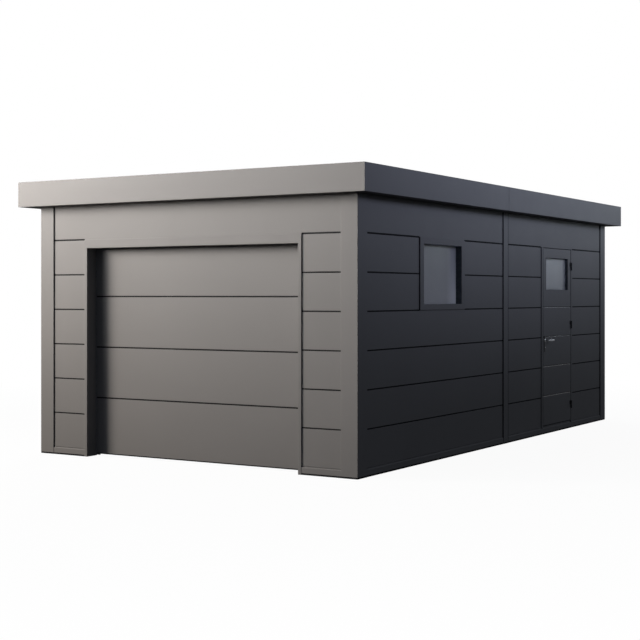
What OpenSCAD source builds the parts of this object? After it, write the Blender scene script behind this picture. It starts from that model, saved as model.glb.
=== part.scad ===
// Detached single garage in sheet steel: sectional garage door in the front wall,
// window and outward opening side door in the right wall, flat roof behind a deep fascia.
// Millimetres. Origin on the ground at the middle of the plan, +X to the right as
// seen from the front, +Y to the back, +Z up. The front face of the posts is the
// datum of every wall, and depths are measured inwards from it.

/* [Overall] */
// Width over the corner posts
wall_w = 3370; // [3200:10:4200]
// Length over the corner posts
wall_d = 5840; // [5600:10:7400]
// Height of the walls, up to the underside of the roof edge
wall_h = 2266; // [2200:1:2500]

/* [Posts and wall panels] */
// Side of the square corner posts
post_w = 156; // [120:1:200]
// Width of the upright stile in the middle of each long wall
stile_w = 108; // [60:1:160]
// Depth of that stile, inwards from the post face
stile_t = 80; // [60:1:120]
// Distance from the front of the building to the stile
stile_at = 2879; // [2500:1:3300]
// Thickness of a wall panel
panel_t = 40; // [20:1:60]
// How far the panels lie behind the face of the posts
panel_recess = 9; // [5:1:20]
// Height of the base rail
base_h = 67; // [50:1:120]
// Height of the plain panel under the roof edge
header_h = 309; // [250:1:400]
// Height of the shadow groove between two rows
groove_h = 13; // [4:1:16]
// Depth of the shadow groove
groove_d = 16; // [4:1:20]
// Height of the fine joint above the base rail
base_joint_h = 3; // [1:1:6]

/* [Garage door] */
// Clear width of the garage opening
opening_w = 2250; // [2000:10:2500]
// Width of the lining that shows beside the opening
lining_w = 33; // [20:1:60]
// Height of the lining that shows above the opening
lining_head_h = 77; // [40:1:120]
// Depth of the lining, from the post face to the door
lining_t = 127; // [80:1:200]
// Thickness of the door sections
section_t = 40; // [30:1:60]
// Height of one door section
section_h = 459.5; // [440:0.5:480]
// Height of the lowest joint between two sections
first_joint_z = 532; // [480:1:560]
// How far the door reaches behind the lining at each side
door_overlap = 20; // [10:1:40]
// How far the door reaches behind the lining above the opening
door_head_overlap = 24; // [10:1:40]
// Height of the rubber seal under the door
seal_h = 10; // [6:1:30]
// How far that seal stays above the ground
seal_z = 15; // [5:1:30]
// Height of the groove at a section joint
section_groove_h = 12; // [2:1:14]
// Depth of the groove at a section joint
section_groove_d = 10; // [2:1:14]
// Thickness of the metal of the door guides
guide_t = 4; // [2:1:8]
// Width of the lip of a guide that laps behind the door
guide_lip = 30; // [20:1:45]

/* [Window] */
// Distance from the front of the building to the window surround
surround_at = 1088; // [500:1:1150]
// Width of the window surround
surround_w = 904; // [700:1:1100]
// Depth of the window surround, from the post face to the glass
surround_t = 60; // [55:1:70]
// Width of the surround beside the glass
surround_side = 71; // [40:1:100]
// Width of the surround above and below the glass
surround_end = 51; // [40:1:100]
// Thickness of the window glass
glass_t = 6; // [4:1:10]
// How far the glass laps behind the surround
glass_lap = 20; // [10:1:25]
// Depth of the frame that clamps the glass from inside
window_frame_t = 36; // [20:1:50]
// How far that frame reaches into the daylight opening
window_frame_lip = 15; // [8:1:20]

/* [Side door] */
// Distance from the front of the building to the door frame
door_at = 3870; // [3600:1:3950]
// Width of the lock side jamb
lock_jamb_w = 37; // [30:1:60]
// Width of the hinge side jamb
hinge_jamb_w = 50; // [45:1:70]
// Depth of the jambs, inwards from the post face
jamb_t = 60; // [56:1:80]
// Width of the door leaf
leaf_w = 795; // [700:1:820]
// Thickness of the door leaf
leaf_t = 45; // [38:1:48]
// Height of the bottom edge of the leaf above ground
leaf_bottom = 90; // [85:1:140]
// Gap above the leaf
leaf_top_gap = 8; // [6:1:15]
// Gap between the leaf and the lock side jamb
lock_gap = 7; // [7:0.5:10]
// Gap between the leaf and the hinge side jamb
hinge_gap = 6; // [6:0.5:10]
// How far the stops reach in front of the edge of the leaf
stop_lap = 10; // [8:1:14]
// Thickness of the stops
stop_t = 10; // [6:1:10]
// Height of the lowest groove in the leaf
leaf_row_z = 397; // [380:1:430]
// Distance between the grooves in the leaf
leaf_row_pitch = 310; // [300:1:320]
// Width of the window in the leaf
leaf_window_w = 636; // [500:1:650]
// Height of the window in the leaf
leaf_window_h = 337; // [250:1:345]
// Distance of that window below the top of the leaf
leaf_window_drop = 100; // [80:1:160]
// Least height of plain sheet between the highest groove and the window
leaf_row_clear = 100; // [60:5:180]
// Depth of the leaf's glass behind its face
leaf_glass_at = 32; // [20:1:34]
// Thickness of the leaf's glass
leaf_glass_t = 4; // [3:1:6]
// Width of the beads that hold the leaf's glass
bead_w = 15; // [10:1:25]

/* [Hinges and lever] */
// Distance of the lowest hinge above the bottom of the leaf
hinge_low_at = 171; // [120:1:260]
// Distance of the middle hinge below the top of the leaf
hinge_middle_at = 815; // [700:1:1000]
// Distance of the highest hinge below the top of the leaf
hinge_high_at = 179; // [120:1:260]
// Height of one knuckle
knuckle_h = 42; // [30:1:60]
// Radius of a knuckle
knuckle_r = 8; // [6:0.5:9]
// Distance of the hinge pin in front of the post face
pin_out = 10; // [10:0.5:14]
// Radius of the hinge pin
pin_r = 5; // [4:0.5:5]
// Width of a hinge plate
hinge_plate_w = 30; // [24:1:40]
// Thickness of a hinge plate
hinge_plate_t = 3; // [2:0.5:4]
// Height of the lever spindle above ground
lever_z = 983; // [900:1:1100]
// Distance of the spindle from the lock edge of the leaf
backset = 38; // [34:1:60]
// Radius of the spindle and of the neck of the lever
spindle_r = 8; // [6:0.5:9]
// Length of the lever handle, from the spindle to its end
lever_l = 135; // [100:1:150]
// Height of the lever handle
lever_h = 18; // [12:1:24]
// Thickness of the lever handle
lever_t = 10; // [8:1:14]
// Distance from the face of the leaf to the far side of the handle
lever_out = 60; // [45:1:70]
// Width of the lock plates
lock_plate_w = 34; // [28:1:40]
// Height of the lock plates
lock_plate_h = 170; // [150:1:240]
// Thickness of the lock plates
lock_plate_t = 5; // [3:1:8]
// Distance of the key cylinder below the spindle
cylinder_drop = 75; // [60:1:92]

/* [Roof] */
// How far the roof reaches past the walls
overhang = 145; // [100:1:250]
// Height of the fascia
fascia_h = 228; // [200:1:300]
// Thickness of the folded fascia
fascia_t = 30; // [15:1:40]
// Distance from the front of the building to the joint in the side fascia
fascia_joint_at = 2671; // [2000:1:3600]
// Width of that joint
fascia_joint_w = 4; // [1:0.5:6]
// Thickness of the soffit boards
soffit_t = 20; // [10:1:30]
// How far the soffit boards lie over the walls
soffit_bearing = 80; // [60:1:120]
// Number of roof beams
beam_count = 7; // [5:1:9]
// Thickness of a roof beam
beam_w = 50; // [40:1:80]
// Height of the lowest roof beam
beam_h = 70; // [60:1:80]
// Fall of the roof deck from front to back
deck_fall = 60; // [20:1:60]
// Thickness of the flat part of the roof deck
deck_t = 8; // [5:1:12]
// Height of the ribs of the roof deck
rib_h = 35; // [15:1:40]
// Distance between two ribs
rib_pitch = 207; // [150:1:300]
// Width of a rib at its foot
rib_foot = 70; // [50:1:90]
// Width of a rib at its top
rib_top = 40; // [20:1:45]

/* [Fits] */
// Gap around pieces that are set in a rebate or seated loosely
seat_gap = 0.3; // [0.1:0.1:0.5]
// Radial clearance of pins and spindles in their holes
run_gap = 0.05; // [0.02:0.01:0.1]
// Gap between the edge of the roof deck and the fascia
deck_gap = 2; // [1:0.5:4]

/* [Hidden] */
$fn = 48;
eps = 1;

steel = "#6e6c69";
steel_dark = "#5d5c5a";
door_steel = "#706e6b";
roof_steel = "#66676a";
rubber = "#1c1c1d";
hinge_black = "#1f2022";
glass_grey = [0.45, 0.49, 0.54, 0.55];
bright_steel = "#b9bcc0";

// Walls: planes and rows
panel_back = panel_recess + panel_t;
row_count = 6;
header_z = wall_h - header_h;
row_pitch = (header_z - base_h) / row_count;
window_row_z = header_z - 2 * row_pitch;
pier_w = (wall_w - opening_w) / 2;
panel_end = pier_w - lining_w;
stile_end = stile_at + stile_w;
back_post_at = wall_d - post_w;

// Garage door
door_low = pier_w - door_overlap;
door_w = opening_w + 2 * door_overlap;
section_joints = [for (i = [0:2]) first_joint_z + i * section_h];
opening_h = header_z - lining_head_h;
door_bottom = seal_z + seal_h;
door_top = opening_h + door_head_overlap;
door_back = lining_t + section_t;

// Window
surround_end_at = surround_at + surround_w;
window_w = surround_w - 2 * surround_side;
window_h = header_z - window_row_z - 2 * surround_end;
window_at = surround_at + surround_side;
window_z = window_row_z + surround_end;
frame_rim = glass_lap + 15;

// Side door
leaf_at = door_at + lock_jamb_w + lock_gap;
leaf_end = leaf_at + leaf_w;
hinge_jamb_at = leaf_end + hinge_gap;
door_end = hinge_jamb_at + hinge_jamb_w;
leaf_top = header_z - leaf_top_gap;
leaf_window_at = leaf_at + (leaf_w - leaf_window_w) / 2;
leaf_window_z = leaf_top - leaf_window_drop - leaf_window_h;
leaf_rows = [for (z = [leaf_row_z:leaf_row_pitch:leaf_window_z - leaf_row_clear]) z];
stop_at = jamb_t - stop_t;
stop_low = leaf_at + stop_lap;
stop_high = leaf_end - stop_lap;
stop_head_z = leaf_top - stop_lap;
pin_at = leaf_end + hinge_gap / 2;
knuckle_gap = 1;
pin_h = knuckle_h - 6;
hinge_z = [leaf_bottom + hinge_low_at, leaf_top - hinge_middle_at,
           leaf_top - hinge_high_at];
spindle_at = leaf_at + backset;
bead_t = leaf_t - leaf_glass_at - leaf_glass_t;

// Roof
soffit_reach = overhang - fascia_t;
roof_top = wall_h + fascia_h;
beam_z = wall_h + soffit_t;
deck_z = beam_z + beam_h + seat_gap;
deck_w = wall_w + 2 * (soffit_reach - deck_gap);
deck_run = wall_d + 2 * (soffit_reach - deck_gap);
deck_angle = atan(deck_fall / deck_run);
rib_count = floor((deck_w - rib_foot) / rib_pitch);
beam_spacing = (wall_d - 2 * post_w) / (beam_count - 1);

// A box between two opposite corners
module block(low, high) {
    translate(low) cube(high - low);
}

// The frame of a wall: x runs along it, y inwards from the post face, z up
module on_front() {
    translate([-wall_w / 2, -wall_d / 2, 0]) children();
}

module on_back() {
    mirror([0, 1, 0]) on_front() children();
}

module on_right() {
    translate([wall_w / 2, -wall_d / 2, 0]) rotate([0, 0, 90]) children();
}

module on_left() {
    mirror([1, 0, 0]) on_right() children();
}

// Shadow grooves at the rows' joints between low_z and high_z
module row_grooves(from, to, low_z, high_z) {
    for (row = [1:row_count]) {
        joint_z = base_h + row * row_pitch;
        if (joint_z > low_z - eps && joint_z < high_z + eps)
            block([from, panel_recess - eps, joint_z - groove_h / 2],
                  [to, panel_recess + groove_d, joint_z + groove_h / 2]);
    }
    if (low_z <= base_h)
        block([from, panel_recess - eps, base_h - eps],
              [to, panel_recess + groove_d, base_h + base_joint_h]);
}

// A field of horizontal panels with its grooves
module panel_field(from, to, low_z, high_z) {
    difference() {
        block([from, panel_recess, low_z], [to, panel_back, high_z]);
        row_grooves(from - eps, to + eps, low_z, high_z);
    }
}

// The plain panel under the roof edge, grooved only over the fields given
module header(from, to, grooved) {
    difference() {
        block([from, panel_recess, header_z], [to, panel_back, wall_h]);
        for (field = grooved)
            row_grooves(field[0], field[1], header_z, header_z);
    }
}

// A flat ring in the plane of a wall, between an outer and an inner rectangle
module ring(low, high, rim, front, back) {
    difference() {
        block([low[0], front, low[1]], [high[0], back, high[1]]);
        block([low[0] + rim, front - eps, low[1] + rim],
              [high[0] - rim, back + eps, high[1] - rim]);
    }
}

module base_rail(from, to) {
    block([from, panel_recess, 0], [to, panel_back, base_h]);
}

module base_rails() {
    color(steel_dark) {
        on_front() base_rail(post_w, panel_end);
        on_front() base_rail(wall_w - panel_end, wall_w - post_w);
        on_back() base_rail(post_w, wall_w - post_w);
        on_right() base_rail(post_w, stile_at);
        on_right() base_rail(stile_end, back_post_at);
        on_left() base_rail(post_w, stile_at);
        on_left() base_rail(stile_end, back_post_at);
    }
}

module corner_post(x, y) {
    color(steel)
        translate([x * (wall_w - post_w) / 2, y * (wall_d - post_w) / 2, wall_h / 2])
            cube([post_w, post_w, wall_h], center = true);
}

module corner_post_front_left() {
    corner_post(-1, -1);
}

module corner_post_front_right() {
    corner_post(1, -1);
}

module corner_post_back_left() {
    corner_post(-1, 1);
}

module corner_post_back_right() {
    corner_post(1, 1);
}

module stile() {
    block([stile_at, 0, 0], [stile_end, stile_t, wall_h]);
}

module right_stile() {
    color(steel) on_right() stile();
}

module left_stile() {
    color(steel) on_left() stile();
}

module front_header() {
    color(steel) on_front()
        header(post_w, wall_w - post_w,
               [[post_w - eps, panel_end],
                [wall_w - panel_end, wall_w - post_w + eps]]);
}

module front_panels_left() {
    color(steel) on_front() panel_field(post_w, panel_end, base_h, header_z);
}

module front_panels_right() {
    color(steel) on_front()
        panel_field(wall_w - panel_end, wall_w - post_w, base_h, header_z);
}

module garage_lining_left() {
    color(steel) on_front() block([panel_end, 0, 0], [pier_w, lining_t, header_z]);
}

module garage_lining_right() {
    color(steel) on_front()
        block([wall_w - pier_w, 0, 0], [wall_w - panel_end, lining_t, header_z]);
}

module garage_lining_head() {
    color(steel) on_front()
        block([pier_w, 0, opening_h], [wall_w - pier_w, lining_t, header_z]);
}

// One section of the garage door, with a groove along its top edge
module door_section(low_z, high_z, grooved) {
    color(door_steel) on_front() difference() {
        block([door_low, lining_t, low_z], [door_low + door_w, door_back, high_z]);
        if (grooved)
            block([door_low - eps, lining_t - eps, high_z - section_groove_h],
                  [door_low + door_w + eps, lining_t + section_groove_d, high_z + eps]);
    }
}

module garage_door_section_1() {
    door_section(door_bottom, section_joints[0], true);
}

module garage_door_section_2() {
    door_section(section_joints[0], section_joints[1], true);
}

module garage_door_section_3() {
    door_section(section_joints[1], section_joints[2], true);
}

module garage_door_section_4() {
    door_section(section_joints[2], door_top, false);
}

module garage_door_seal() {
    color(rubber) on_front()
        block([door_low, lining_t + 5, seal_z],
              [door_low + door_w, door_back - 5, door_bottom]);
}

// An angle that closes the end of the door sections and laps behind them
module door_guide() {
    union() {
        block([door_low - seat_gap - guide_t, lining_t, 0],
              [door_low - seat_gap, door_back + seat_gap + guide_t, door_top]);
        block([door_low - seat_gap - eps, door_back + seat_gap, 0],
              [door_low - seat_gap + guide_lip, door_back + seat_gap + guide_t, door_top]);
    }
}

module garage_door_guides() {
    color(bright_steel) {
        on_front() door_guide();
        mirror([1, 0, 0]) on_front() door_guide();
    }
}

module right_header_front() {
    color(steel) on_right()
        header(post_w, stile_at,
               [[post_w - eps, surround_at], [surround_end_at, stile_at + eps]]);
}

// The field under the window, without a groove where the surround stands on it
module right_panels_low() {
    color(steel) on_right() difference() {
        block([post_w, panel_recess, base_h], [stile_at, panel_back, window_row_z]);
        row_grooves(post_w - eps, stile_at + eps, base_h, window_row_z - row_pitch);
        for (field = [[post_w - eps, surround_at], [surround_end_at, stile_at + eps]])
            row_grooves(field[0], field[1], window_row_z, window_row_z);
    }
}

module right_panels_beside_window() {
    color(steel) on_right() {
        panel_field(post_w, surround_at, window_row_z, header_z);
        panel_field(surround_end_at, stile_at, window_row_z, header_z);
    }
}

module window_surround() {
    color(steel) on_right() difference() {
        block([surround_at, 0, window_row_z], [surround_end_at, surround_t, header_z]);
        block([window_at, -eps, window_z],
              [window_at + window_w, surround_t + eps, window_z + window_h]);
    }
}

module window_glass() {
    color(glass_grey) on_right()
        block([window_at - glass_lap, surround_t, window_z - glass_lap],
              [window_at + window_w + glass_lap, surround_t + glass_t,
               window_z + window_h + glass_lap]);
}

module window_frame() {
    color(steel_dark) on_right() difference() {
        ring([window_at - frame_rim, window_z - frame_rim],
             [window_at + window_w + frame_rim, window_z + window_h + frame_rim],
             frame_rim + window_frame_lip, surround_t, surround_t + window_frame_t);
        block([window_at - glass_lap - seat_gap, surround_t - eps,
               window_z - glass_lap - seat_gap],
              [window_at + window_w + glass_lap + seat_gap,
               surround_t + glass_t + seat_gap,
               window_z + window_h + glass_lap + seat_gap]);
    }
}

module right_header_back() {
    color(steel) on_right()
        header(stile_end, back_post_at,
               [[stile_end - eps, door_at], [door_end, back_post_at + eps]]);
}

module right_panels_before_door() {
    color(steel) on_right() panel_field(stile_end, door_at, base_h, header_z);
}

module right_panels_after_door() {
    color(steel) on_right() panel_field(door_end, back_post_at, base_h, header_z);
}

module side_door_jambs() {
    color(steel) on_right() {
        block([door_at, 0, base_h], [door_at + lock_jamb_w, jamb_t, header_z]);
        block([hinge_jamb_at, 0, base_h], [door_end, jamb_t, header_z]);
    }
}

// Three strips that the closed leaf shuts against, 5 mm or more behind it
module side_door_stops() {
    color(steel_dark) on_right() {
        block([door_at + lock_jamb_w, stop_at, base_h], [stop_low, jamb_t, header_z]);
        block([stop_high, stop_at, base_h], [hinge_jamb_at, jamb_t, header_z]);
        block([stop_low + seat_gap, stop_at, stop_head_z],
              [stop_high - seat_gap, jamb_t, header_z]);
    }
}

module left_panels_front() {
    color(steel) on_left() panel_field(post_w, stile_at, base_h, wall_h);
}

module left_panels_back() {
    color(steel) on_left() panel_field(stile_end, back_post_at, base_h, wall_h);
}

module back_panels() {
    color(steel) on_back() panel_field(post_w, wall_w - post_w, base_h, wall_h);
}

module soffit_front() {
    color(steel_dark) on_front()
        block([-soffit_reach, -soffit_reach, wall_h],
              [wall_w + soffit_reach, soffit_bearing, beam_z]);
}

module soffit_back() {
    color(steel_dark) on_back()
        block([-soffit_reach, -soffit_reach, wall_h],
              [wall_w + soffit_reach, soffit_bearing, beam_z]);
}

module soffit_side() {
    block([soffit_bearing, -soffit_reach, wall_h],
          [wall_d - soffit_bearing, soffit_bearing, beam_z]);
}

module soffit_left() {
    color(steel_dark) on_left() soffit_side();
}

module soffit_right() {
    color(steel_dark) on_right() soffit_side();
}

module fascia_front() {
    color(steel) on_front()
        block([-overhang, -overhang, wall_h],
              [wall_w + overhang, -soffit_reach, roof_top]);
}

module fascia_back() {
    color(steel) on_back()
        block([-overhang, -overhang, wall_h],
              [wall_w + overhang, -soffit_reach, roof_top]);
}

// The side fascia comes in two lengths, with a fine joint between them
module fascia_side() {
    block([-soffit_reach, -overhang, wall_h],
          [fascia_joint_at - fascia_joint_w / 2, -soffit_reach, roof_top]);
    block([fascia_joint_at + fascia_joint_w / 2, -overhang, wall_h],
          [wall_d + soffit_reach, -soffit_reach, roof_top]);
}

module fascia_left() {
    color(steel) on_left() fascia_side();
}

module fascia_right() {
    color(steel) on_right() fascia_side();
}

// Underside of the sloping deck at a distance from the front of the building
function deck_under(along) =
    deck_z + (wall_d + soffit_reach - deck_gap - along) * tan(deck_angle);

// Beams from side to side, each as high as the sloping deck above it
module roof_beams() {
    color(steel_dark) on_front()
        for (i = [0:beam_count - 1]) {
            middle = post_w + i * beam_spacing;
            block([5, middle - beam_w / 2, beam_z],
                  [wall_w - 5, middle + beam_w / 2,
                   deck_under(middle + beam_w / 2) - seat_gap]);
        }
}

// Ribbed sheet that falls towards the back
module roof_deck() {
    rib_points = [
        for (i = [rib_count:-1:0])
            let (x = (i - rib_count / 2) * rib_pitch)
                each [[x + rib_foot / 2, deck_t], [x + rib_top / 2, deck_t + rib_h],
                      [x - rib_top / 2, deck_t + rib_h], [x - rib_foot / 2, deck_t]]
    ];
    outline = concat([[-deck_w / 2, 0], [deck_w / 2, 0], [deck_w / 2, deck_t]],
                     rib_points, [[-deck_w / 2, deck_t]]);
    color(roof_steel)
        translate([0, wall_d / 2 + soffit_reach - deck_gap, deck_z])
            rotate([90 - deck_angle, 0, 0])
                linear_extrude(height = deck_run) polygon(outline);
}

module at_hinges() {
    for (z = hinge_z)
        translate([pin_at, -pin_out, z]) children();
}

// The lower knuckle with its pin, and the plate on the hinge side jamb
module hinge_frame_halves() {
    color(hinge_black) on_right() at_hinges() {
        translate([0, 0, -knuckle_h - knuckle_gap / 2]) {
            cylinder(r = knuckle_r, h = knuckle_h);
            cylinder(r = pin_r, h = knuckle_h + knuckle_gap + pin_h);
            block([0, pin_out - hinge_plate_t, 0], [hinge_plate_w, pin_out, knuckle_h]);
        }
    }
}

// The upper knuckle, which turns on the pin, and the plate on the leaf
module hinge_door_halves() {
    color(hinge_black) on_right() at_hinges()
        translate([0, 0, knuckle_gap / 2]) difference() {
            union() {
                cylinder(r = knuckle_r, h = knuckle_h);
                block([-hinge_plate_w, pin_out - hinge_plate_t, 0],
                      [0, pin_out, knuckle_h]);
            }
            translate([0, 0, -eps])
                cylinder(r = pin_r + run_gap, h = pin_h + eps + 1);
        }
}

module side_door_leaf() {
    color(steel) on_right() difference() {
        block([leaf_at, 0, leaf_bottom], [leaf_end, leaf_t, leaf_top]);
        for (z = leaf_rows)
            block([leaf_at - eps, -eps, z - groove_h / 2],
                  [leaf_end + eps, groove_d, z + groove_h / 2]);
        block([leaf_window_at, -eps, leaf_window_z],
              [leaf_window_at + leaf_window_w, leaf_t + eps,
               leaf_window_z + leaf_window_h]);
        translate([spindle_at, -eps, lever_z]) rotate([-90, 0, 0])
            cylinder(r = spindle_r + 2, h = leaf_t + 2 * eps);
    }
}

module side_door_glass() {
    color(glass_grey) on_right()
        block([leaf_window_at + seat_gap, leaf_glass_at, leaf_window_z + seat_gap],
              [leaf_window_at + leaf_window_w - seat_gap, leaf_glass_at + leaf_glass_t,
               leaf_window_z + leaf_window_h - seat_gap]);
}

module side_door_glass_beads() {
    color(steel_dark) on_right()
        ring([leaf_window_at + seat_gap, leaf_window_z + seat_gap],
             [leaf_window_at + leaf_window_w - seat_gap,
              leaf_window_z + leaf_window_h - seat_gap],
             bead_w, leaf_t - bead_t, leaf_t);
}

// A plate on each face of the leaf, with the key cylinder under the spindle
module lock_plate() {
    plate_z = lever_z - cylinder_drop / 2;
    difference() {
        union() {
            block([spindle_at - lock_plate_w / 2, -lock_plate_t,
                   plate_z - lock_plate_h / 2],
                  [spindle_at + lock_plate_w / 2, 0, plate_z + lock_plate_h / 2]);
            translate([spindle_at, 0, lever_z - cylinder_drop]) rotate([90, 0, 0])
                cylinder(r = spindle_r, h = lock_plate_t + 4);
        }
        translate([spindle_at, eps, lever_z]) rotate([90, 0, 0])
            cylinder(r = spindle_r + run_gap, h = lock_plate_t + 2 * eps);
    }
}

module side_door_lock_plates() {
    color(steel_dark) on_right() {
        lock_plate();
        translate([0, leaf_t, 0]) mirror([0, 1, 0]) lock_plate();
    }
}

// A handle on each face of the leaf, joined by the spindle
module side_door_lever() {
    neck_l = lever_out - lever_t / 2;
    color(bright_steel) on_right() translate([spindle_at, 0, lever_z]) {
        translate([0, -neck_l, 0]) rotate([-90, 0, 0])
            cylinder(r = spindle_r, h = leaf_t + 2 * neck_l);
        for (front = [-lever_out, leaf_t + lever_out - lever_t])
            block([-lever_h / 2, front, -lever_h / 2],
                  [lever_l, front + lever_t, lever_h / 2]);
    }
}

base_rails();
corner_post_front_left();
corner_post_front_right();
corner_post_back_left();
corner_post_back_right();
front_header();
front_panels_left();
front_panels_right();
garage_lining_left();
garage_lining_right();
garage_lining_head();
garage_door_section_1();
garage_door_section_2();
garage_door_section_3();
garage_door_section_4();
garage_door_seal();
garage_door_guides();
right_header_front();
right_panels_low();
right_panels_beside_window();
window_surround();
window_glass();
window_frame();
right_stile();
right_header_back();
right_panels_before_door();
right_panels_after_door();
side_door_jambs();
side_door_stops();
left_panels_front();
left_stile();
left_panels_back();
back_panels();
soffit_front();
soffit_back();
soffit_left();
soffit_right();
fascia_front();
fascia_back();
fascia_left();
fascia_right();
roof_beams();
roof_deck();
hinge_frame_halves();
side_door_leaf();
side_door_glass();
side_door_glass_beads();
side_door_lock_plates();
hinge_door_halves();
side_door_lever();
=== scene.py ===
# Single garage in painted sheet steel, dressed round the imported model.
# Metres, Z up, front wall at -Y. A place on a wall is along, inward, up: along the wall from its
# front or left corner, inward from the face of the posts, up from the ground.
import math

import bmesh
import bpy
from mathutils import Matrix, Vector


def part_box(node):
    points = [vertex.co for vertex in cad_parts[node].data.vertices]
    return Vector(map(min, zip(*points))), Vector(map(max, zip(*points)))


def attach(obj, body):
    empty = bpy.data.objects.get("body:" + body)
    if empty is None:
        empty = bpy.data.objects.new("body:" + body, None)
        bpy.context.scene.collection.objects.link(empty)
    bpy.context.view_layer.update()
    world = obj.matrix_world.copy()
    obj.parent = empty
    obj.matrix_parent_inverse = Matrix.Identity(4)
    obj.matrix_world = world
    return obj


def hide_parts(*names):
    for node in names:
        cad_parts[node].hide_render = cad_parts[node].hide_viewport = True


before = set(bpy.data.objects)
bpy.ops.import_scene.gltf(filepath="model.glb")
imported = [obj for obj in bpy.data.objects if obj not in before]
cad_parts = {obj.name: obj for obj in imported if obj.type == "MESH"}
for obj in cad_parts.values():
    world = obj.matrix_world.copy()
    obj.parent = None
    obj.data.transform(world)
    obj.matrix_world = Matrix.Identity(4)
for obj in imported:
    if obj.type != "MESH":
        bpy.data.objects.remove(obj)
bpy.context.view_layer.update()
print("frame loaded:", len(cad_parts), "nodes")

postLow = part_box("corner_post_front_left")[0]
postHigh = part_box("corner_post_back_right")[1]
wallTop = postHigh.z
wallWidth = postHigh.x - postLow.x
wallLength = postHigh.y - postLow.y

# each wall: its corner, the way it runs, the way in
walls = {
    "front": (Vector((postLow.x, postLow.y, 0)), Vector((1, 0, 0)), Vector((0, 1, 0))),
    "back": (Vector((postLow.x, postHigh.y, 0)), Vector((1, 0, 0)), Vector((0, -1, 0))),
    "left": (Vector((postLow.x, postLow.y, 0)), Vector((0, 1, 0)), Vector((1, 0, 0))),
    "right": (Vector((postHigh.x, postLow.y, 0)), Vector((0, 1, 0)), Vector((-1, 0, 0))),
}


def onWall(wall, along, inward, up):
    corner, run, inside = walls[wall]
    return corner + run * along + inside * inward + Vector((0, 0, up))


def wallBox(wall, node):
    corner, run, inside = walls[wall]
    low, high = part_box(node)
    spans = [sorted(((p - corner).dot(way) for p in (low, high))) for way in (run, inside)]
    return (spans[0][0], spans[1][0], low.z), (spans[0][1], spans[1][1], high.z)


# camera: level, on the near right, with the lens shifted down a little
cameraSpec = {
    "lens": 73.36,
    "sensor": 36,
    "clip": (0.1, 200),
    "turn": 31.391,
    "back": 10.30,
    "side": 0.2978,
    "height": 1.4605,
    "shiftDown": 0.0394,
}


def makeCamera(spec):
    turn = math.radians(spec["turn"])
    data = bpy.data.cameras.new("viewCamera")
    data.lens = spec["lens"]
    data.sensor_width = spec["sensor"]
    data.shift_y = -spec["shiftDown"]
    data.clip_start, data.clip_end = spec["clip"]
    camera = bpy.data.objects.new("viewCamera", data)
    camera.location = (
        postHigh.x - spec["side"] * math.cos(turn) + spec["back"] * math.sin(turn),
        postLow.y - spec["side"] * math.sin(turn) - spec["back"] * math.cos(turn),
        spec["height"],
    )
    camera.rotation_euler = (math.pi / 2, 0, turn)
    bpy.context.scene.collection.objects.link(camera)
    bpy.context.scene.camera = camera


makeCamera(cameraSpec)
print("camera placed")


# nodes, for materials and for geometry

def fill(tree, node, inputs):
    # an output is linked; anything else is set on the input itself
    for name, value in inputs.items():
        socket = node.inputs[name]
        if isinstance(value, bpy.types.NodeSocket):
            tree.links.new(value, socket)
        elif socket.type == "RGBA":
            socket.default_value = (*value, 1)
        else:
            socket.default_value = value


def addNode(tree, kind, inputs=None, **settings):
    node = tree.nodes.new(kind)
    for name, value in settings.items():
        setattr(node, name, value)
    fill(tree, node, inputs or {})
    return node


def newMaterial(name):
    material = bpy.data.materials.new(name)
    material.use_nodes = True
    tree = material.node_tree
    return material, tree, tree.nodes["Principled BSDF"]


def objectCoordinates(tree, scale=(1, 1, 1)):
    place = addNode(tree, "ShaderNodeTexCoord")
    return addNode(tree, "ShaderNodeMapping", {
        "Vector": place.outputs["Object"], "Scale": scale}).outputs["Vector"]


def noise(tree, where, scale, detail=2.0, roughness=0.5):
    return addNode(tree, "ShaderNodeTexNoise", {
        "Vector": where, "Scale": scale, "Detail": detail, "Roughness": roughness}).outputs["Fac"]


def spread(tree, value, low, high, fromLow=0.3, fromHigh=0.7):
    return addNode(tree, "ShaderNodeMapRange", {
        "Value": value, "From Min": fromLow, "From Max": fromHigh,
        "To Min": low, "To Max": high}).outputs["Result"]


def mixColour(tree, factor, first, second):
    return addNode(tree, "ShaderNodeMix", {"Factor": factor, "A": first, "B": second},
                   data_type="RGBA").outputs["Result"]


def scaleColour(tree, amount, colour, gain):
    # a colour that grows to gain times itself as amount goes from 0 to 1
    return addNode(tree, "ShaderNodeVectorMath", {
        "Vector": colour, "Scale": spread(tree, amount, 1, gain, 0, 1)},
        operation="SCALE").outputs["Vector"]


def mathNode(tree, operation, first, second):
    return addNode(tree, "ShaderNodeMath", {0: first, 1: second},
                   operation=operation).outputs["Value"]


def shaded(colour, factor):
    return tuple(c * factor for c in colour)


def mottled(tree, pattern, colour, factor):
    # the colour, and factor times the colour where the pattern is high
    return mixColour(tree, spread(tree, pattern, 0, 1), colour, shaded(colour, factor))


def addBump(tree, shader, heights):
    # heights: (value, strength, distance in metres), the broadest first
    before = {}
    for value, strength, distance in heights:
        bump = addNode(tree, "ShaderNodeBump", {
            "Height": value, "Strength": strength, "Distance": distance, **before})
        before = {"Normal": bump.outputs["Normal"]}
    fill(tree, shader, before)


# materials

paintSpec = {
    "colour": (0.168, 0.162, 0.156),
    "toneScale": 1.3,
    "toneChange": 0.95,
    "dust": 0.06,
    "dustHeight": 0.35,
    "dustColour": (0.22, 0.205, 0.185),
    "speckScale": 38,
    "speckRange": (0.2, 1),
    "roughness": 0.46,
    "roughnessChange": 0.03,
    "smudgeScale": 6,
    "specular": 0.03,
    "grain": 0.35,
    "grainDepth": 0.00025,
    "grainScale": 620,
    "sag": (0.12, 0.002),
    "sagScale": 1.7,
}


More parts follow.
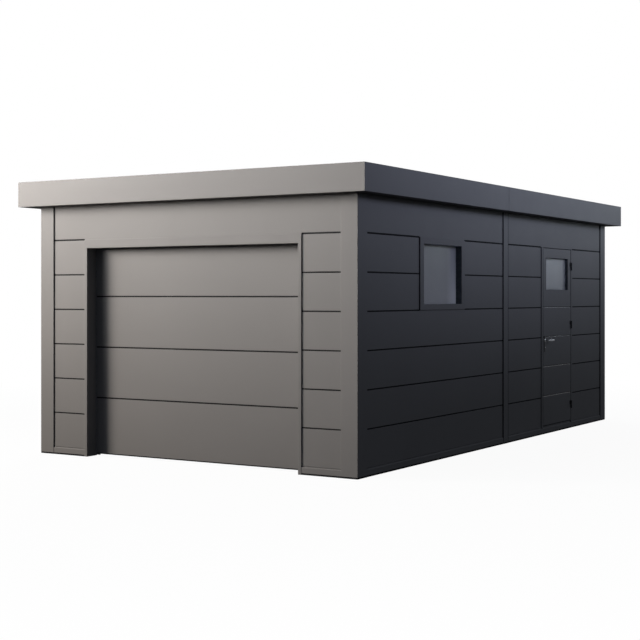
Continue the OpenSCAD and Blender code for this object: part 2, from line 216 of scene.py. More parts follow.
def paintedSteel(name, **changes):
    # powder coat: broad unevenness of tone, fine grain, a breath of dust near the ground
    spec = {**paintSpec, **changes}
    material, tree, shader = newMaterial(name)
    where = objectCoordinates(tree)
    tone = mottled(tree, noise(tree, where, spec["toneScale"], 3), spec["colour"],
                   spec["toneChange"])
    height = addNode(tree, "ShaderNodeSeparateXYZ", {"Vector": where}).outputs["Z"]
    low = spread(tree, height, spec["dust"], 0, 0, spec["dustHeight"])
    specks = spread(tree, noise(tree, where, spec["speckScale"], detail=5, roughness=0.65),
                    *spec["speckRange"])
    smudge = noise(tree, where, spec["smudgeScale"], detail=4, roughness=0.6)
    roughness, change = spec["roughness"], spec["roughnessChange"]
    fill(tree, shader, {
        "Base Color": mixColour(tree, mathNode(tree, "MULTIPLY", low, specks), tone,
                                spec["dustColour"]),
        "Roughness": spread(tree, smudge, roughness - change, roughness + change),
        "Specular IOR Level": spec["specular"]})
    addBump(tree, shader, [
        (noise(tree, where, spec["sagScale"], detail=1), *spec["sag"]),
        (noise(tree, where, spec["grainScale"]), spec["grain"], spec["grainDepth"])])
    return material


zincSpec = {
    "crystalScale": 55,
    "toneChange": 0.82,
    "roughnessChange": (-0.06, 0.08),
    "metallic": 0.85,
    "wave": (0.1, 0.002),
    "waveScale": 2.5,
    "pit": (0.2, 0.0001),
    "pitScale": 300,
}


def zincSteel(name, colour, roughness):
    # galvanised sheet: flat crystals of slightly different tone and gloss
    spec = zincSpec
    material, tree, shader = newMaterial(name)
    smooth, rough = (roughness + change for change in spec["roughnessChange"])
    where = objectCoordinates(tree)
    crystals = addNode(tree, "ShaderNodeTexVoronoi", {
        "Vector": where, "Scale": spec["crystalScale"]})
    tones = addNode(tree, "ShaderNodeSeparateColor", {"Color": crystals.outputs["Color"]}).outputs
    fill(tree, shader, {
        "Base Color": mixColour(tree, tones["Red"], colour, shaded(colour, spec["toneChange"])),
        "Roughness": spread(tree, tones["Green"], smooth, rough, 0, 1),
        "Metallic": spec["metallic"]})
    addBump(tree, shader, [(noise(tree, where, spec["waveScale"]), *spec["wave"]),
                           (noise(tree, where, spec["pitScale"]), *spec["pit"])])
    return material


rubberSpec = {
    "chalkScale": 25,
    "chalk": 1.8,
    "roughness": (0.62, 0.8),
    "specular": 0.05,
    "pit": (0.3, 0.0002),
    "pitScale": 900,
}


def rubberSkin(name, colour):
    spec = rubberSpec
    material, tree, shader = newMaterial(name)
    where = objectCoordinates(tree)
    chalk = noise(tree, where, spec["chalkScale"], detail=5, roughness=0.65)
    fill(tree, shader, {
        "Base Color": mottled(tree, chalk, colour, spec["chalk"]),
        "Roughness": spread(tree, chalk, *spec["roughness"]),
        "Specular IOR Level": spec["specular"]})
    addBump(tree, shader, [(noise(tree, where, spec["pitScale"], detail=3), *spec["pit"])])
    return material


paneSpec = {
    "tint": (0.233, 0.234, 0.245),
    "tintChange": 0.96,
    "filmScale": 4,
    "roughness": 0.32,
    "roughnessChange": 0.05,
    "through": 0.55,
    "specular": 0.2,
    # painted light on the pane: how much lighter it grows towards the bottom and the far side, and
    # how wide the far-side gain is
    "lowHaze": 1.97,
    "sideHaze": 2.3,
    "paintedLightWidth": 0.22,
    "wave": (0.05, 0.001),
    "waveScale": 0.9,
    "pit": (0.15, 0.0001),
    "pitScale": 900,
}


def windowPane(name, paintedLightSpan=None, **changes):
    # obscured glass: a satin face that lets part of the light through
    spec = {**paneSpec, **changes}
    material, tree, shader = newMaterial(name)
    where = objectCoordinates(tree)
    film = noise(tree, where, spec["filmScale"], detail=5, roughness=0.6)
    colour = mottled(tree, film, spec["tint"], spec["tintChange"])
    if paintedLightSpan:
        # painted light: the pane's colour grows lighter towards the bottom and the far side, to even
        # out the shade that the head and the far side of the deep reveal cast on it
        low, high = paintedLightSpan
        axes = addNode(tree, "ShaderNodeSeparateXYZ", {"Vector": where}).outputs
        for axis, start, end, gain in (
                ("Z", high.z, low.z, spec["lowHaze"]),
                ("Y", high.y - spec["paintedLightWidth"], high.y, spec["sideHaze"])):
            colour = scaleColour(tree, spread(tree, axes[axis], 0, 1, start, end), colour, gain)
    fill(tree, shader, {
        "Base Color": colour,
        "Roughness": spread(tree, film, spec["roughness"],
                            spec["roughness"] + spec["roughnessChange"]),
        "Transmission Weight": spec["through"],
        "IOR": 1.5,
        "Specular IOR Level": spec["specular"]})
    addBump(tree, shader, [(noise(tree, where, spec["waveScale"], detail=1), *spec["wave"]),
                           (noise(tree, where, spec["pitScale"]), *spec["pit"])])
    return material


metalSpec = {
    "brushScale": 1400,
    "toneChange": 0.86,
    "roughnessChange": (-0.05, 0.08),
    "stretch": (1, 0.08, 1),
    "brush": (0.15, 0.00005),
}


def brushedMetal(name, colour, roughness, stretch=metalSpec["stretch"]):
    spec = metalSpec
    material, tree, shader = newMaterial(name)
    smooth, rough = (roughness + change for change in spec["roughnessChange"])
    brushing = noise(tree, objectCoordinates(tree, stretch), spec["brushScale"], detail=3)
    fill(tree, shader, {
        "Base Color": mottled(tree, brushing, colour, spec["toneChange"]),
        "Roughness": spread(tree, brushing, smooth, rough),
        "Metallic": 1})
    addBump(tree, shader, [(brushing, *spec["brush"])])
    return material


wallPaint = paintedSteel("wallPaint")
basePaint = paintedSteel("basePaint", dust=0.12, roughness=0.5)
garageDoorPaint = paintedSteel("garageDoorPaint", toneScale=0.9, grain=0.45)
sideDoorPaint = paintedSteel("sideDoorPaint", roughness=0.44)
roofEdgePaint = paintedSteel("roofEdgePaint", toneScale=0.7, dust=0)
# painted shade: the soffits are painted darker than the walls, for the shade under the fascia
soffitPaint = paintedSteel("soffitPaint", colour=(0.075, 0.074, 0.073), toneScale=0.7, dust=0)
framePaint = paintedSteel("framePaint", toneChange=0.9, roughness=0.5)
blackPaint = paintedSteel("blackPaint", colour=(0.014, 0.014, 0.015), dust=0, roughness=0.4,
                          specular=0.4, grainScale=1500)
plateBlack = paintedSteel("plateBlack", colour=(0.022, 0.022, 0.024), dust=0, roughness=0.32,
                          specular=0.5, grainScale=1800)
roofCoat = paintedSteel("roofCoat", colour=(0.145, 0.143, 0.14), toneScale=0.8, toneChange=0.82,
                        dust=0, roughness=0.58, specular=0.12, grain=0.6)
# painted light: a pale coat for the lining under the window head, which lies in shade
paleCoat = paintedSteel("paleCoat", colour=(0.56, 0.56, 0.58), dust=0)
beamZinc = zincSteel("beamZinc", (0.42, 0.43, 0.44), 0.45)
guideZinc = zincSteel("guideZinc", (0.5, 0.51, 0.52), 0.38)
blackRubber = rubberSkin("blackRubber", (0.008, 0.008, 0.0085))
# dark rubber of the gaskets and the skirt; in the window and pane reveals it is also painted shade
linerRubber = rubberSkin("linerRubber", (0.04, 0.046, 0.052))
lipRubber = rubberSkin("lipRubber", (0.09, 0.09, 0.092))
# the glass's box bounds the painted light on this pane
frostedPane = windowPane("frostedPane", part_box("window_glass"))
leafPane = windowPane("leafPane", tint=(0.485, 0.49, 0.49), through=0.5)
satinSteel = brushedMetal("satinSteel", (0.66, 0.66, 0.67), 0.26)
inlaySteel = brushedMetal("inlaySteel", (0.66, 0.66, 0.67), 0.13)
leverSteel = brushedMetal("leverSteel", (0.86, 0.86, 0.87), 0.18)
screwSteel = brushedMetal("screwSteel", (0.5, 0.5, 0.51), 0.34, (1, 1, 1))
print("materials made:", len(bpy.data.materials))


# shapes

fineEase = 0.001  # the smallest fold of painted sheet


def rounded(points, radius, steps=4):
    # a closed outline with arcs at its corners; a point may bring its own radius as a third value
    result = []
    for i, point in enumerate(points):
        here = Vector(point[:2])
        bend = point[2] if len(point) > 2 else radius
        if bend <= 0:
            result.append(here)
            continue
        back = (Vector(points[i - 1][:2]) - here).normalized()
        ahead = (Vector(points[(i + 1) % len(points)][:2]) - here).normalized()
        half = math.acos(max(-1, min(1, back.dot(ahead)))) / 2
        centre = here + (back + ahead).normalized() * (bend / math.sin(half))
        first = here + back * (bend / math.tan(half)) - centre
        last = here + ahead * (bend / math.tan(half)) - centre
        turn = math.atan2(first.x * last.y - first.y * last.x, first.dot(last))
        start = math.atan2(first.y, first.x)
        for k in range(steps + 1):
            angle = start + turn * k / steps
            result.append(centre + Vector((math.cos(angle), math.sin(angle))) * bend)
    return result


def boxOutline(low, high):
    return [(low[0], low[1]), (high[0], low[1]), (high[0], high[1]), (low[0], high[1])]


def quarterSteps(count=4):
    return [math.pi / 2 * k / count for k in range(count + 1)]


def foldArc(radius, front=0.0):
    # a quarter fold as (distance from the edge, depth), from the flank to the face
    return [(radius - radius * math.cos(a), front + radius - radius * math.sin(a))
            for a in quarterSteps()]


def bridge(bm, first, second):
    count = len(first)
    for i in range(count):
        j = (i + 1) % count
        bm.faces.new((first[i], first[j], second[j], second[i]))


def loft(bm, rings):
    # closed rings of places joined in a row, both ends shut
    rings = [[bm.verts.new(p) for p in ring] for ring in rings]
    for first, second in zip(rings, rings[1:]):
        bridge(bm, first, second)
    bm.faces.new(rings[0])
    bm.faces.new(rings[-1])


def carry(bm, outline, place, start, end):
    # a closed outline carried from start to end
    loft(bm, [[place(p[0], p[1], t) for p in outline] for t in (start, end)])


def bar(bm, place, low, high, start, end, ease, steps=4):
    # a bar with eased edges; low and high are corners of its section
    carry(bm, rounded(boxOutline(low, high), ease, steps), place, start, end)


def alongWall(wall):
    return lambda inward, up, along: onWall(wall, along, inward, up)


def upWall(wall):
    return lambda along, inward, up: onWall(wall, along, inward, up)


def throughWall(wall):
    return lambda along, up, inward: onWall(wall, along, inward, up)


def wayOf(wall, along=0, inward=0):
    # a direction given as along and inward
    return onWall(wall, along, inward, 0) - onWall(wall, 0, 0, 0)


def rect(low, high, grow=0.0):
    return (low[0] - grow, low[2] - grow, high[0] + grow, high[2] + grow)


def frameBetween(bm, wall, hole, outer, front, back, radius, holeBack=0.0008):
    # a mitred frame in the plane of a wall, between a hole and an outer edge, folded with a radius
    # hole and outer are (low along, low up, high along, high up)
    arc = foldArc(radius, front)
    inner = arc[::-1] + [(0, back - holeBack), (holeBack, back)]
    outside = [(holeBack, back), (0, back - holeBack)] + arc
    rings = []
    for a, u in ((-1, -1), (1, -1), (1, 1), (-1, 1)):
        i, j = a + 1, u + 2
        ring = [onWall(wall, hole[i] + a * o, v, hole[j] + u * o) for o, v in inner]
        ring += [onWall(wall, outer[i] - a * o, v, outer[j] - u * o) for o, v in outside]
        rings.append([bm.verts.new(p) for p in ring])
    for i in range(4):
        bridge(bm, rings[i], rings[(i + 1) % 4])


def softBox(bm, wall, low, high, radius=0.002):
    # a small block with its long edges eased, given as along, inward, up
    spans = [high[i] - low[i] for i in range(3)]
    longest = spans.index(max(spans))
    others = [i for i in range(3) if i != longest]
    ease = min(radius, 0.45 * min(spans[i] for i in others))

    def place(a, b, t):
        where = [0, 0, 0]
        where[others[0]], where[others[1]], where[longest] = a, b, t
        return onWall(wall, *where)

    bar(bm, place, [low[i] for i in others], [high[i] for i in others],
        low[longest], high[longest], ease, 3)


def turned(bm, centre, axis, stations, sides=32):
    # a closed turned shape: stations are (distance along the axis, radius)
    axis = Vector(axis).normalized()
    side = axis.orthogonal().normalized()
    other = axis.cross(side)
    angles = [2 * math.pi * k / sides for k in range(sides)]
    loft(bm, [[Vector(centre) + axis * distance
               + (side * math.cos(a) + other * math.sin(a)) * radius for a in angles]
              for distance, radius in stations])


def knob(length, radius, ease):
    # stations of a plain turned shape with eased ends
    start = [(ease - ease * math.cos(a), radius - ease + ease * math.sin(a))
             for a in quarterSteps()]
    return start + [(length - d, r) for d, r in reversed(start)]


def makePiece(name, bm, material, body="garage", nodes=(), slot=None, sharp=40):
    bmesh.ops.recalc_face_normals(bm, faces=bm.faces)
    mesh = bpy.data.meshes.new(name)
    bm.to_mesh(mesh)
    bm.free()
    mesh.materials.clear()
    mesh.materials.append(material)
    for polygon in mesh.polygons:
        polygon.use_smooth = True
        polygon.material_index = 0
    mesh.set_sharp_from_angle(angle=math.radians(sharp))
    piece = bpy.data.objects.new(name, mesh)
    bpy.context.scene.collection.objects.link(piece)
    even = piece.modifiers.new("evenNormals", "WEIGHTED_NORMAL")
    even.keep_sharp = True
    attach(piece, body)
    if nodes:
        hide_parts(*nodes)


def dressed(node, bm, material, slot, body="garage"):
    # a piece that stands for one node, under the node's own name
    first, *others = node.split("_")
    name = first + "".join(word.title() for word in others)
    makePiece(name, bm, material, body, [node], slot)


# geometry node trees

def newTree(name, **kinds):
    tree = bpy.data.node_groups.new(name, "GeometryNodeTree")
    for label, kind in kinds.items():
        tree.interface.new_socket(label, in_out="INPUT", socket_type="NodeSocket" + kind)
    tree.interface.new_socket("Geometry", in_out="OUTPUT", socket_type="NodeSocketGeometry")
    return tree, tree.nodes.new("NodeGroupInput").outputs


def placeItem(tree, given, points, **inputs):
    # the item on every point, made real, in the finish that is given
    item = addNode(tree, "GeometryNodeObjectInfo", {"Object": given["Item"]},
                   transform_space="ORIGINAL")
    placed = addNode(tree, "GeometryNodeInstanceOnPoints", {
        "Points": points, "Instance": item.outputs["Geometry"], **inputs})
    real = addNode(tree, "GeometryNodeRealizeInstances", {"Geometry": placed.outputs["Instances"]})
    finish = addNode(tree, "GeometryNodeSetMaterial", {
        "Geometry": real.outputs["Geometry"], "Material": given["Finish"]})
    addNode(tree, "NodeGroupOutput", {"Geometry": finish.outputs["Geometry"]})
    return tree


def lineTree():
    # one item, repeated in equal steps along a line
    tree, given = newTree("repeatAlongLine", Item="Object", Count="Int", Start="Vector",
                          Step="Vector", Finish="Material")
    line = addNode(tree, "GeometryNodeMeshLine", {
        "Count": given["Count"], "Start Location": given["Start"], "Offset": given["Step"]},
        mode="OFFSET")
    return placeItem(tree, given, line.outputs["Mesh"])


def gridTree():
    # one item on a grid of rows and columns, with a slope and a height
    tree, given = newTree("repeatOnGrid", Item="Object", Columns="Int", Rows="Int",
                          Width="Float", Length="Float", Middle="Vector", Slope="Float",
                          Finish="Material")
    grid = addNode(tree, "GeometryNodeMeshGrid", {
        "Size X": given["Width"], "Size Y": given["Length"],
        "Vertices X": given["Columns"], "Vertices Y": given["Rows"]})
    tilt = addNode(tree, "ShaderNodeCombineXYZ", {"X": given["Slope"]}).outputs["Vector"]
    place = addNode(tree, "GeometryNodeTransform", {
        "Geometry": grid.outputs["Mesh"], "Translation": given["Middle"], "Rotation": tilt})
    return placeItem(tree, given, place.outputs["Geometry"], Rotation=tilt)


lineOfItems = lineTree()
gridOfItems = gridTree()


def asMesh(bm, name="item"):
    mesh = bpy.data.meshes.new(name)
    bm.to_mesh(mesh)
    bm.free()
    return mesh


def runTree(bm, tree, item, values):
    # adds the tree's result to bm; the item and the host go away again
    item = bpy.data.objects.new("treeItem", asMesh(item))
    host = bpy.data.objects.new("treeHost", bpy.data.meshes.new("treeHost"))
    for thing in (item, host):
        bpy.context.scene.collection.objects.link(thing)
    modifier = host.modifiers.new("build", "NODES")
    modifier.node_group = tree
    values = {**values, "Item": item}
    for socket in tree.interface.items_tree:
        if socket.in_out == "INPUT":
            modifier[socket.identifier] = values[socket.name]
    graph = bpy.context.evaluated_depsgraph_get()
    mesh = bpy.data.meshes.new_from_object(host.evaluated_get(graph), depsgraph=graph)
    host.modifiers.remove(modifier)
    for thing in (item, host):
        data = thing.data
        bpy.data.objects.remove(thing)
        bpy.data.meshes.remove(data)
    bm.from_mesh(mesh)
    bpy.data.meshes.remove(mesh)


def repeatLine(bm, item, count, step, finish, start=(0, 0, 0)):
    runTree(bm, lineOfItems, item, {
        "Count": count, "Start": start, "Step": step, "Finish": finish})


# walls: folded panels in rows, with shadow grooves between them

panelLow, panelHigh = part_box("front_panels_left")
panelSpec = {
    "front": panelLow.y - postLow.y,
    "back": panelHigh.y - postLow.y,
    "rows": 6,
    "windowRow": 4,
    "grooveHalf": 0.0058,
    "headerGap": 0.0080,
    "grooveDepth": 0.016,
    "baseJoint": 0.003,
    "lip": 0.0015,
    "seam": 0.0003,
    "sealFace": 0.004,
    "sealInset": 0.0002,
    "sealLap": 0.001,
    "beadWidth": 0.0015,
    "wideBead": 0.0075,
    "beadFace": 0.0008,
    "jambFace": 0.006,
    "beadEase": 0.0004,
    "beadEnds": (0.001, 0.0005),
    "postEase": 0.003,
    "railProud": 0.007,
    "railSlope": 0.009,
    "footSeal": 0.014,
    "footInset": 0.001,
    "footEase": 0.0008,
}
baseTop = panelLow.z
headerLow = panelHigh.z
rows = panelSpec["rows"]
windowRow = panelSpec["windowRow"]
rowHeight = (headerLow - baseTop) / rows
rowLines = [baseTop + rowHeight * i for i in range(rows + 1)]


def spanOf(wall, node):
    low, high = wallBox(wall, node)
    return low[0], high[0]


frontLeft = spanOf("front", "front_panels_left")
frontRight = spanOf("front", "front_panels_right")
surround = wallBox("right", "window_surround")
stile = spanOf("right", "right_stile")
beforeDoor = spanOf("right", "right_panels_before_door")
afterDoor = spanOf("right", "right_panels_after_door")
lowField = spanOf("right", "right_panels_low")
besideWindow = [(lowField[0], surround[0][0]), (surround[1][0], lowField[1])]
leftFields = [spanOf("left", "left_panels_front"), spanOf("left", "left_panels_back")]
backField = spanOf("back", "back_panels")


def panelOutline(low, high, lowGap, highGap):
    # inward and up; a gap of nothing leaves that edge plain
    spec = panelSpec
    front, back, seam = spec["front"], spec["back"], spec["seam"] / 2
    floor = front + spec["grooveDepth"]
    points = [(back, low + seam, 0)]
    if lowGap:
        points += [(floor, low + seam, 0), (floor, low + lowGap, fineEase),
                   (front, low + lowGap, spec["lip"])]
    else:
        points += [(front, low, 0)]
    if highGap:
        points += [(front, high - highGap, spec["lip"]), (floor, high - highGap, fineEase),
                   (floor, high - seam, 0)]
    else:
        points += [(front, high, 0)]
    return rounded(points + [(back, high - seam, 0)], 0)


def panelRows(bm, wall, start, end, firstRow, lastRow):
    # rows from firstRow up to, and without, lastRow; the row on the base rail has a fine joint
    place = alongWall(wall)
    half = panelSpec["grooveHalf"]
    row = firstRow
    if row == 0:
        carry(bm, panelOutline(rowLines[0], rowLines[1], panelSpec["baseJoint"], half),
              place, start, end)
        row = 1
    panel = bmesh.new()
    carry(panel, panelOutline(rowLines[row], rowLines[row + 1], half, half), place, start, end)
    repeatLine(bm, panel, lastRow - row, (0, 0, rowHeight), wallPaint)


def headerPanel(bm, wall, span, grooved):
    # grooved: the stretches that have a shadow groove below the header
    start, end = span
    edges = sorted({start, end, *[min(max(e, start), end) for pair in grooved for e in pair]})
    for low, high in zip(edges, edges[1:]):
        groove = any(a < (low + high) / 2 < b for a, b in grooved)
        carry(bm, panelOutline(headerLow, wallTop, panelSpec["headerGap"] if groove else 0, 0),
              alongWall(wall), low, high)


def wallFields():
    # the left and back walls have their header in the same piece
    for wall, node, fields, firstRow, headed in (
            ("front", "front_panels_left", [frontLeft], 0, False),
            ("front", "front_panels_right", [frontRight], 0, False),
            ("right", "right_panels_before_door", [beforeDoor], 0, False),
            ("right", "right_panels_after_door", [afterDoor], 0, False),
            ("right", "right_panels_beside_window", besideWindow, windowRow, False),
            ("left", "left_panels_front", leftFields[:1], 0, True),
            ("left", "left_panels_back", leftFields[1:], 0, True),
            ("back", "back_panels", [backField], 0, True)):
        bm = bmesh.new()
        for start, end in fields:
            panelRows(bm, wall, start, end, firstRow, rows)
        if headed:
            headerPanel(bm, wall, fields[0], fields)
        dressed(node, bm, wallPaint, "wall_steel")


def lowPanels():
    # the row under the window has no groove where the surround sits on it
    bm = bmesh.new()
    panelRows(bm, "right", *lowField, 0, windowRow - 1)
    half = panelSpec["grooveHalf"]
    low, high = rowLines[windowRow - 1], rowLines[windowRow]
    cuts = [lowField[0], surround[0][0], surround[1][0], lowField[1]]
    for start, end, gap in zip(cuts, cuts[1:], (half, 0, half)):
        carry(bm, panelOutline(low, high, half, gap), alongWall("right"), start, end)
    dressed("right_panels_low", bm, wallPaint, "wall_steel")


def headers():
    for wall, node, grooved in (("front", "front_header", [frontLeft, frontRight]),
                                ("right", "right_header_front", besideWindow),
                                ("right", "right_header_back", [beforeDoor, afterDoor])):
        bm = bmesh.new()
        headerPanel(bm, wall, spanOf(wall, node), grooved)
        dressed(node, bm, wallPaint, "wall_steel")


uprightNodes = {
    "corner_post_front_left": "front",
    "corner_post_front_right": "front",
    "corner_post_back_left": "front",
    "corner_post_back_right": "front",
    "right_stile": "right",
    "left_stile": "left",
}


def uprights():
    for node, wall in uprightNodes.items():
        bm = bmesh.new()
        low, high = wallBox(wall, node)
        bar(bm, upWall(wall), low, high, low[2] + panelSpec["footSeal"], high[2],
            panelSpec["postEase"])
        dressed(node, bm, wallPaint, "wall_steel")


def baseRails():
    # folded rails with a sloped top edge, and all that stands on the ground on a black seal, partly
    # real and partly painted shade along the ground line
    spec = panelSpec
    bm, seals = bmesh.new(), bmesh.new()
    front, back, foot = spec["front"] - spec["railProud"], spec["back"], spec["footSeal"]
    inset = spec["footInset"]
    post = spanOf("front", "corner_post_front_left")[1]
    outline = rounded([(back, foot), (front, foot, fineEase),
                       (front, baseTop - spec["railSlope"], fineEase),
                       (spec["front"], baseTop, 0), (back, baseTop)], 0)
    under = rounded([(back, 0), (front + inset, 0), (front + inset, foot), (back, foot)],
                    spec["footEase"], 2)
    runs = [("front", post, frontLeft[1]), ("front", frontRight[0], wallWidth - post),
            ("back", post, wallWidth - post)]
    for side in ("left", "right"):
        runs += [(side, post, stile[0]), (side, stile[1], wallLength - post)]
    for wall, start, end in runs:
        carry(bm, outline, alongWall(wall), start, end)
        carry(seals, under, alongWall(wall), start, end)
    for node, wall in uprightNodes.items():
        low, high = wallBox(wall, node)
        bar(seals, upWall(wall), (low[0] + inset, low[1] + inset),
            (high[0] - inset, high[1] - inset), low[2], foot, spec["postEase"])
    dressed("base_rails", bm, basePaint, "base_steel")
    makePiece("footSeals", seals, blackRubber, slot="door_rubber")


def stripIn(bm, wall, start, end, bottom, top):
    inset = panelSpec["sealInset"]
    face = panelSpec["front"] + panelSpec["sealFace"]
    floor = panelSpec["front"] + panelSpec["grooveDepth"] - inset
    carry(bm, rounded([(floor, bottom, 0), (face, bottom, fineEase), (face, top, fineEase),
                       (floor, top, 0)], 0),
          alongWall(wall), start + inset, end - inset)


def jointSeals():
    # black strips that close the grooves between the rows, a little below the face
    inset = panelSpec["sealInset"]
    half = panelSpec["grooveHalf"] - inset
    runs = [("front", *frontLeft, 1, rows), ("front", *frontRight, 1, rows),
            ("right", *beforeDoor, 1, rows), ("right", *afterDoor, 1, rows),
            ("right", *lowField, 1, windowRow - 1)]
    runs += [("right", *field, windowRow, rows) for field in besideWindow]
    runs += [("left", *field, 1, rows) for field in leftFields] + [("back", *backField, 1, rows)]
    bm = bmesh.new()
    for wall, start, end, firstLine, lastLine in runs:
        line = rowLines[firstLine]
        if lastLine == rows:
            stripIn(bm, wall, start, end, headerLow + half - panelSpec["sealLap"],
                    headerLow + panelSpec["headerGap"] - inset)
        strip = bmesh.new()
        stripIn(strip, wall, start, end, line - half, line + half)
        repeatLine(bm, strip, lastLine - firstLine + 1, (0, 0, rowHeight), blackRubber)
    makePiece("wallJointSeals", bm, blackRubber, slot="door_rubber")


def edgeBeads():
    # black beads where a field of panels meets a post, a stile, a lining or a jamb: partly a real
    # seal and partly painted shade, as they blacken the shaded sides of the steps
    face, jambFace = panelSpec["beadFace"], panelSpec["jambFace"]
    thin, wide = panelSpec["beadWidth"], panelSpec["wideBead"]
    foot, head = panelSpec["beadEnds"]
    full = (foot, wallTop - head)
    runs = [("front", frontLeft[0], thin, face, full), ("right", stile[0], -wide, face, full),
            ("right", stile[1], wide, face, full), ("right", afterDoor[1], -wide, face, full)]
    for wall, field in (("left", leftFields[0]), ("left", leftFields[1]), ("back", backField)):
        runs += [(wall, field[0], wide, face, full), (wall, field[1], -wide, face, full)]
    runs += [("right", beforeDoor[1], -thin, jambFace, (baseTop, headerLow)),
             ("right", afterDoor[0], thin, jambFace, (baseTop, headerLow)),
             ("right", surround[0][0], -wide, face, (rowLines[windowRow], headerLow))]
    bm = bmesh.new()
    for wall, edge, width, depth, heights in runs:
        bar(bm, upWall(wall), (edge, depth), (edge + width, panelSpec["front"]), *heights,
            panelSpec["beadEase"], 2)
    makePiece("wallEdgeBeads", bm, blackRubber, slot="door_rubber")


wallFields()
lowPanels()
headers()
uprights()
baseRails()
jointSeals()
edgeBeads()
print("walls made")


# garage door: folded lining, four sections, seals, and the hinges between the sections

garageSpec = {
    "sections": 4,
    "liningFold": 0.003,
    "sectionEase": 0.002,
    "sectionLip": 0.0015,
    "jointHeight": 0.012,
    "jointDepth": 0.010,
    "jointSealFace": 0.004,
    "seam": 0.0006,
    "bulbEase": 0.004,
    "bulbChamfer": 0.002,
    "lipWidth": 0.007,
    "lipRoot": 0.006,
    "lipTip": 0.003,
    "lipGap": 0.0005,
    "lipFoot": 0.002,
    "hingeCount": 4,
    "hingeInset": 0.18,
    "hingePlate": (0.062, 0.003, 0.05),
    "hingeGap": 0.002,
    "hingeBarrel": 0.006,
    "hingeOff": 0.001,
}
openingLeft = wallBox("front", "garage_lining_left")
openingRight = wallBox("front", "garage_lining_right")
openingHead = wallBox("front", "garage_lining_head")
liningDepth = openingLeft[1][1]


def garageLining():
    fold = foldArc(garageSpec["liningFold"])
    # edge of the opening, outer edge, and their heights, from one foot over the head to the other
    left, right = (openingLeft[1][0], openingLeft[0][0]), (openingRight[0][0], openingRight[1][0])
    head = (openingHead[0][2], openingHead[1][2])
    rings = []
    for (edge, outer), (holeUp, outUp), way in ((left, (0, 0), 1), (left, head, 1),
                                                (right, head, -1), (right, (0, 0), -1)):
        rise = 1 if outUp else 0
        ring = [onWall("front", edge, liningDepth, holeUp)]
        ring += [onWall("front", edge - way * o, v, holeUp + rise * o) for o, v in fold]
        ring += [onWall("front", outer + way * o, v, outUp - rise * o) for o, v in fold[::-1]]
        rings.append(ring + [onWall("front", outer, liningDepth, outUp)])
    bm = bmesh.new()
    loft(bm, rings)
    makePiece("garageLining", bm, framePaint, slot="frame_steel",
              nodes=["garage_lining_left", "garage_lining_right", "garage_lining_head"])


def sectionNode(number):
    return "garage_door_section_%d" % number


def garageSections():
    spec = garageSpec
    seals = bmesh.new()
    ease = spec["sectionEase"]
    for number in range(1, spec["sections"] + 1):
        low, high = wallBox("front", sectionNode(number))
        front, back, joint = low[1], high[1], high[2]
        bottom, top = low[2] + spec["seam"] / 2, joint - spec["seam"] / 2
        points = [(back, bottom, ease), (front, bottom, ease)]
        if number < spec["sections"]:
            lip = joint - spec["jointHeight"]
            floor, face = front + spec["jointDepth"], front + spec["jointSealFace"]
            points += [(front, lip, spec["sectionLip"]), (floor, lip, fineEase), (floor, top, 0)]
            carry(seals, rounded([(face, lip, fineEase), (face, joint, fineEase),
                                  (floor, joint, 0), (floor, lip, 0)], 0),
                  alongWall("front"), low[0], high[0])
        else:
            points += [(front, top, ease)]
        bm = bmesh.new()
        carry(bm, rounded(points + [(back, top, ease)], 0), alongWall("front"), low[0], high[0])
        dressed(sectionNode(number), bm, garageDoorPaint, "garage_door_steel")
    makePiece("garageDoorJointSeals", seals, blackRubber, slot="door_rubber")


def garageSeals():
    spec = garageSpec
    low, high = wallBox("front", "garage_door_seal")
    bottom, top, front, back = low[2], high[2], low[1], high[1]
    ease, chamfer = spec["bulbEase"], spec["bulbChamfer"]
    bm = bmesh.new()
    carry(bm, rounded([(back, top, 0), (back, bottom, ease), (front, bottom, ease),
                       (front, top - chamfer, fineEase), (front + chamfer, top, 0)], 0),
          alongWall("front"), low[0], high[0])
    makePiece("garageDoorBottomSeal", bm, blackRubber, nodes=["garage_door_seal"],
              slot="door_rubber")

    # lips on the back of the lining, against the face of the door
    width, headUp = spec["lipWidth"], openingHead[0][2]
    root, tip, gap = (liningDepth - spec[part] for part in ("lipRoot", "lipTip", "lipGap"))
    bm = bmesh.new()
    for edge, way in ((openingLeft[1][0], 1), (openingRight[0][0], -1)):
        end = edge + way * width
        carry(bm, rounded([(edge, root, 0), (end, tip, fineEase), (end, gap, fineEase),
                           (edge, gap, 0)], 0), upWall("front"), spec["lipFoot"], headUp)
    carry(bm, rounded([(root, headUp, 0), (tip, headUp - width, fineEase),
                       (gap, headUp - width, fineEase), (gap, headUp, 0)], 0),
          alongWall("front"), openingLeft[1][0] + width, openingRight[0][0] - width)
    makePiece("garageDoorLipSeals", bm, lipRubber, slot="door_rubber")


def sectionHinges():
    # inside, over each joint between two sections
    spec = garageSpec
    width, thick, height = spec["hingePlate"]
    barrel, gap = spec["hingeBarrel"], spec["hingeGap"]
    low, high = wallBox("front", sectionNode(1))
    start, back = low[0] + spec["hingeInset"], high[1]
    step = (high[0] - low[0] - 2 * spec["hingeInset"]) / (spec["hingeCount"] - 1)
    bm = bmesh.new()
    for number in range(1, spec["sections"]):
        joint = wallBox("front", sectionNode(number))[1][2]
        item = bmesh.new()
        for up in (joint - height - gap, joint + gap):
            softBox(item, "front", (start - width / 2, back, up),
                    (start + width / 2, back + thick, up + height), fineEase)
        axis = back + barrel + spec["hingeOff"]
        turned(item, onWall("front", start - width / 2, axis, joint), (1, 0, 0),
               knob(width, barrel, fineEase), 16)
        repeatLine(bm, item, spec["hingeCount"], (step, 0, 0), guideZinc)
    makePiece("garageDoorJointHinges", bm, guideZinc, slot="guide_steel")


def dressGuides():
    # the guides' own solids are right as they are
    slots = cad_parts["garage_door_guides"].data.materials
    slots.clear()
    slots.append(guideZinc)


garageLining()
garageSections()
garageSeals()
sectionHinges()
dressGuides()
print("garage door made")


# window in the right wall

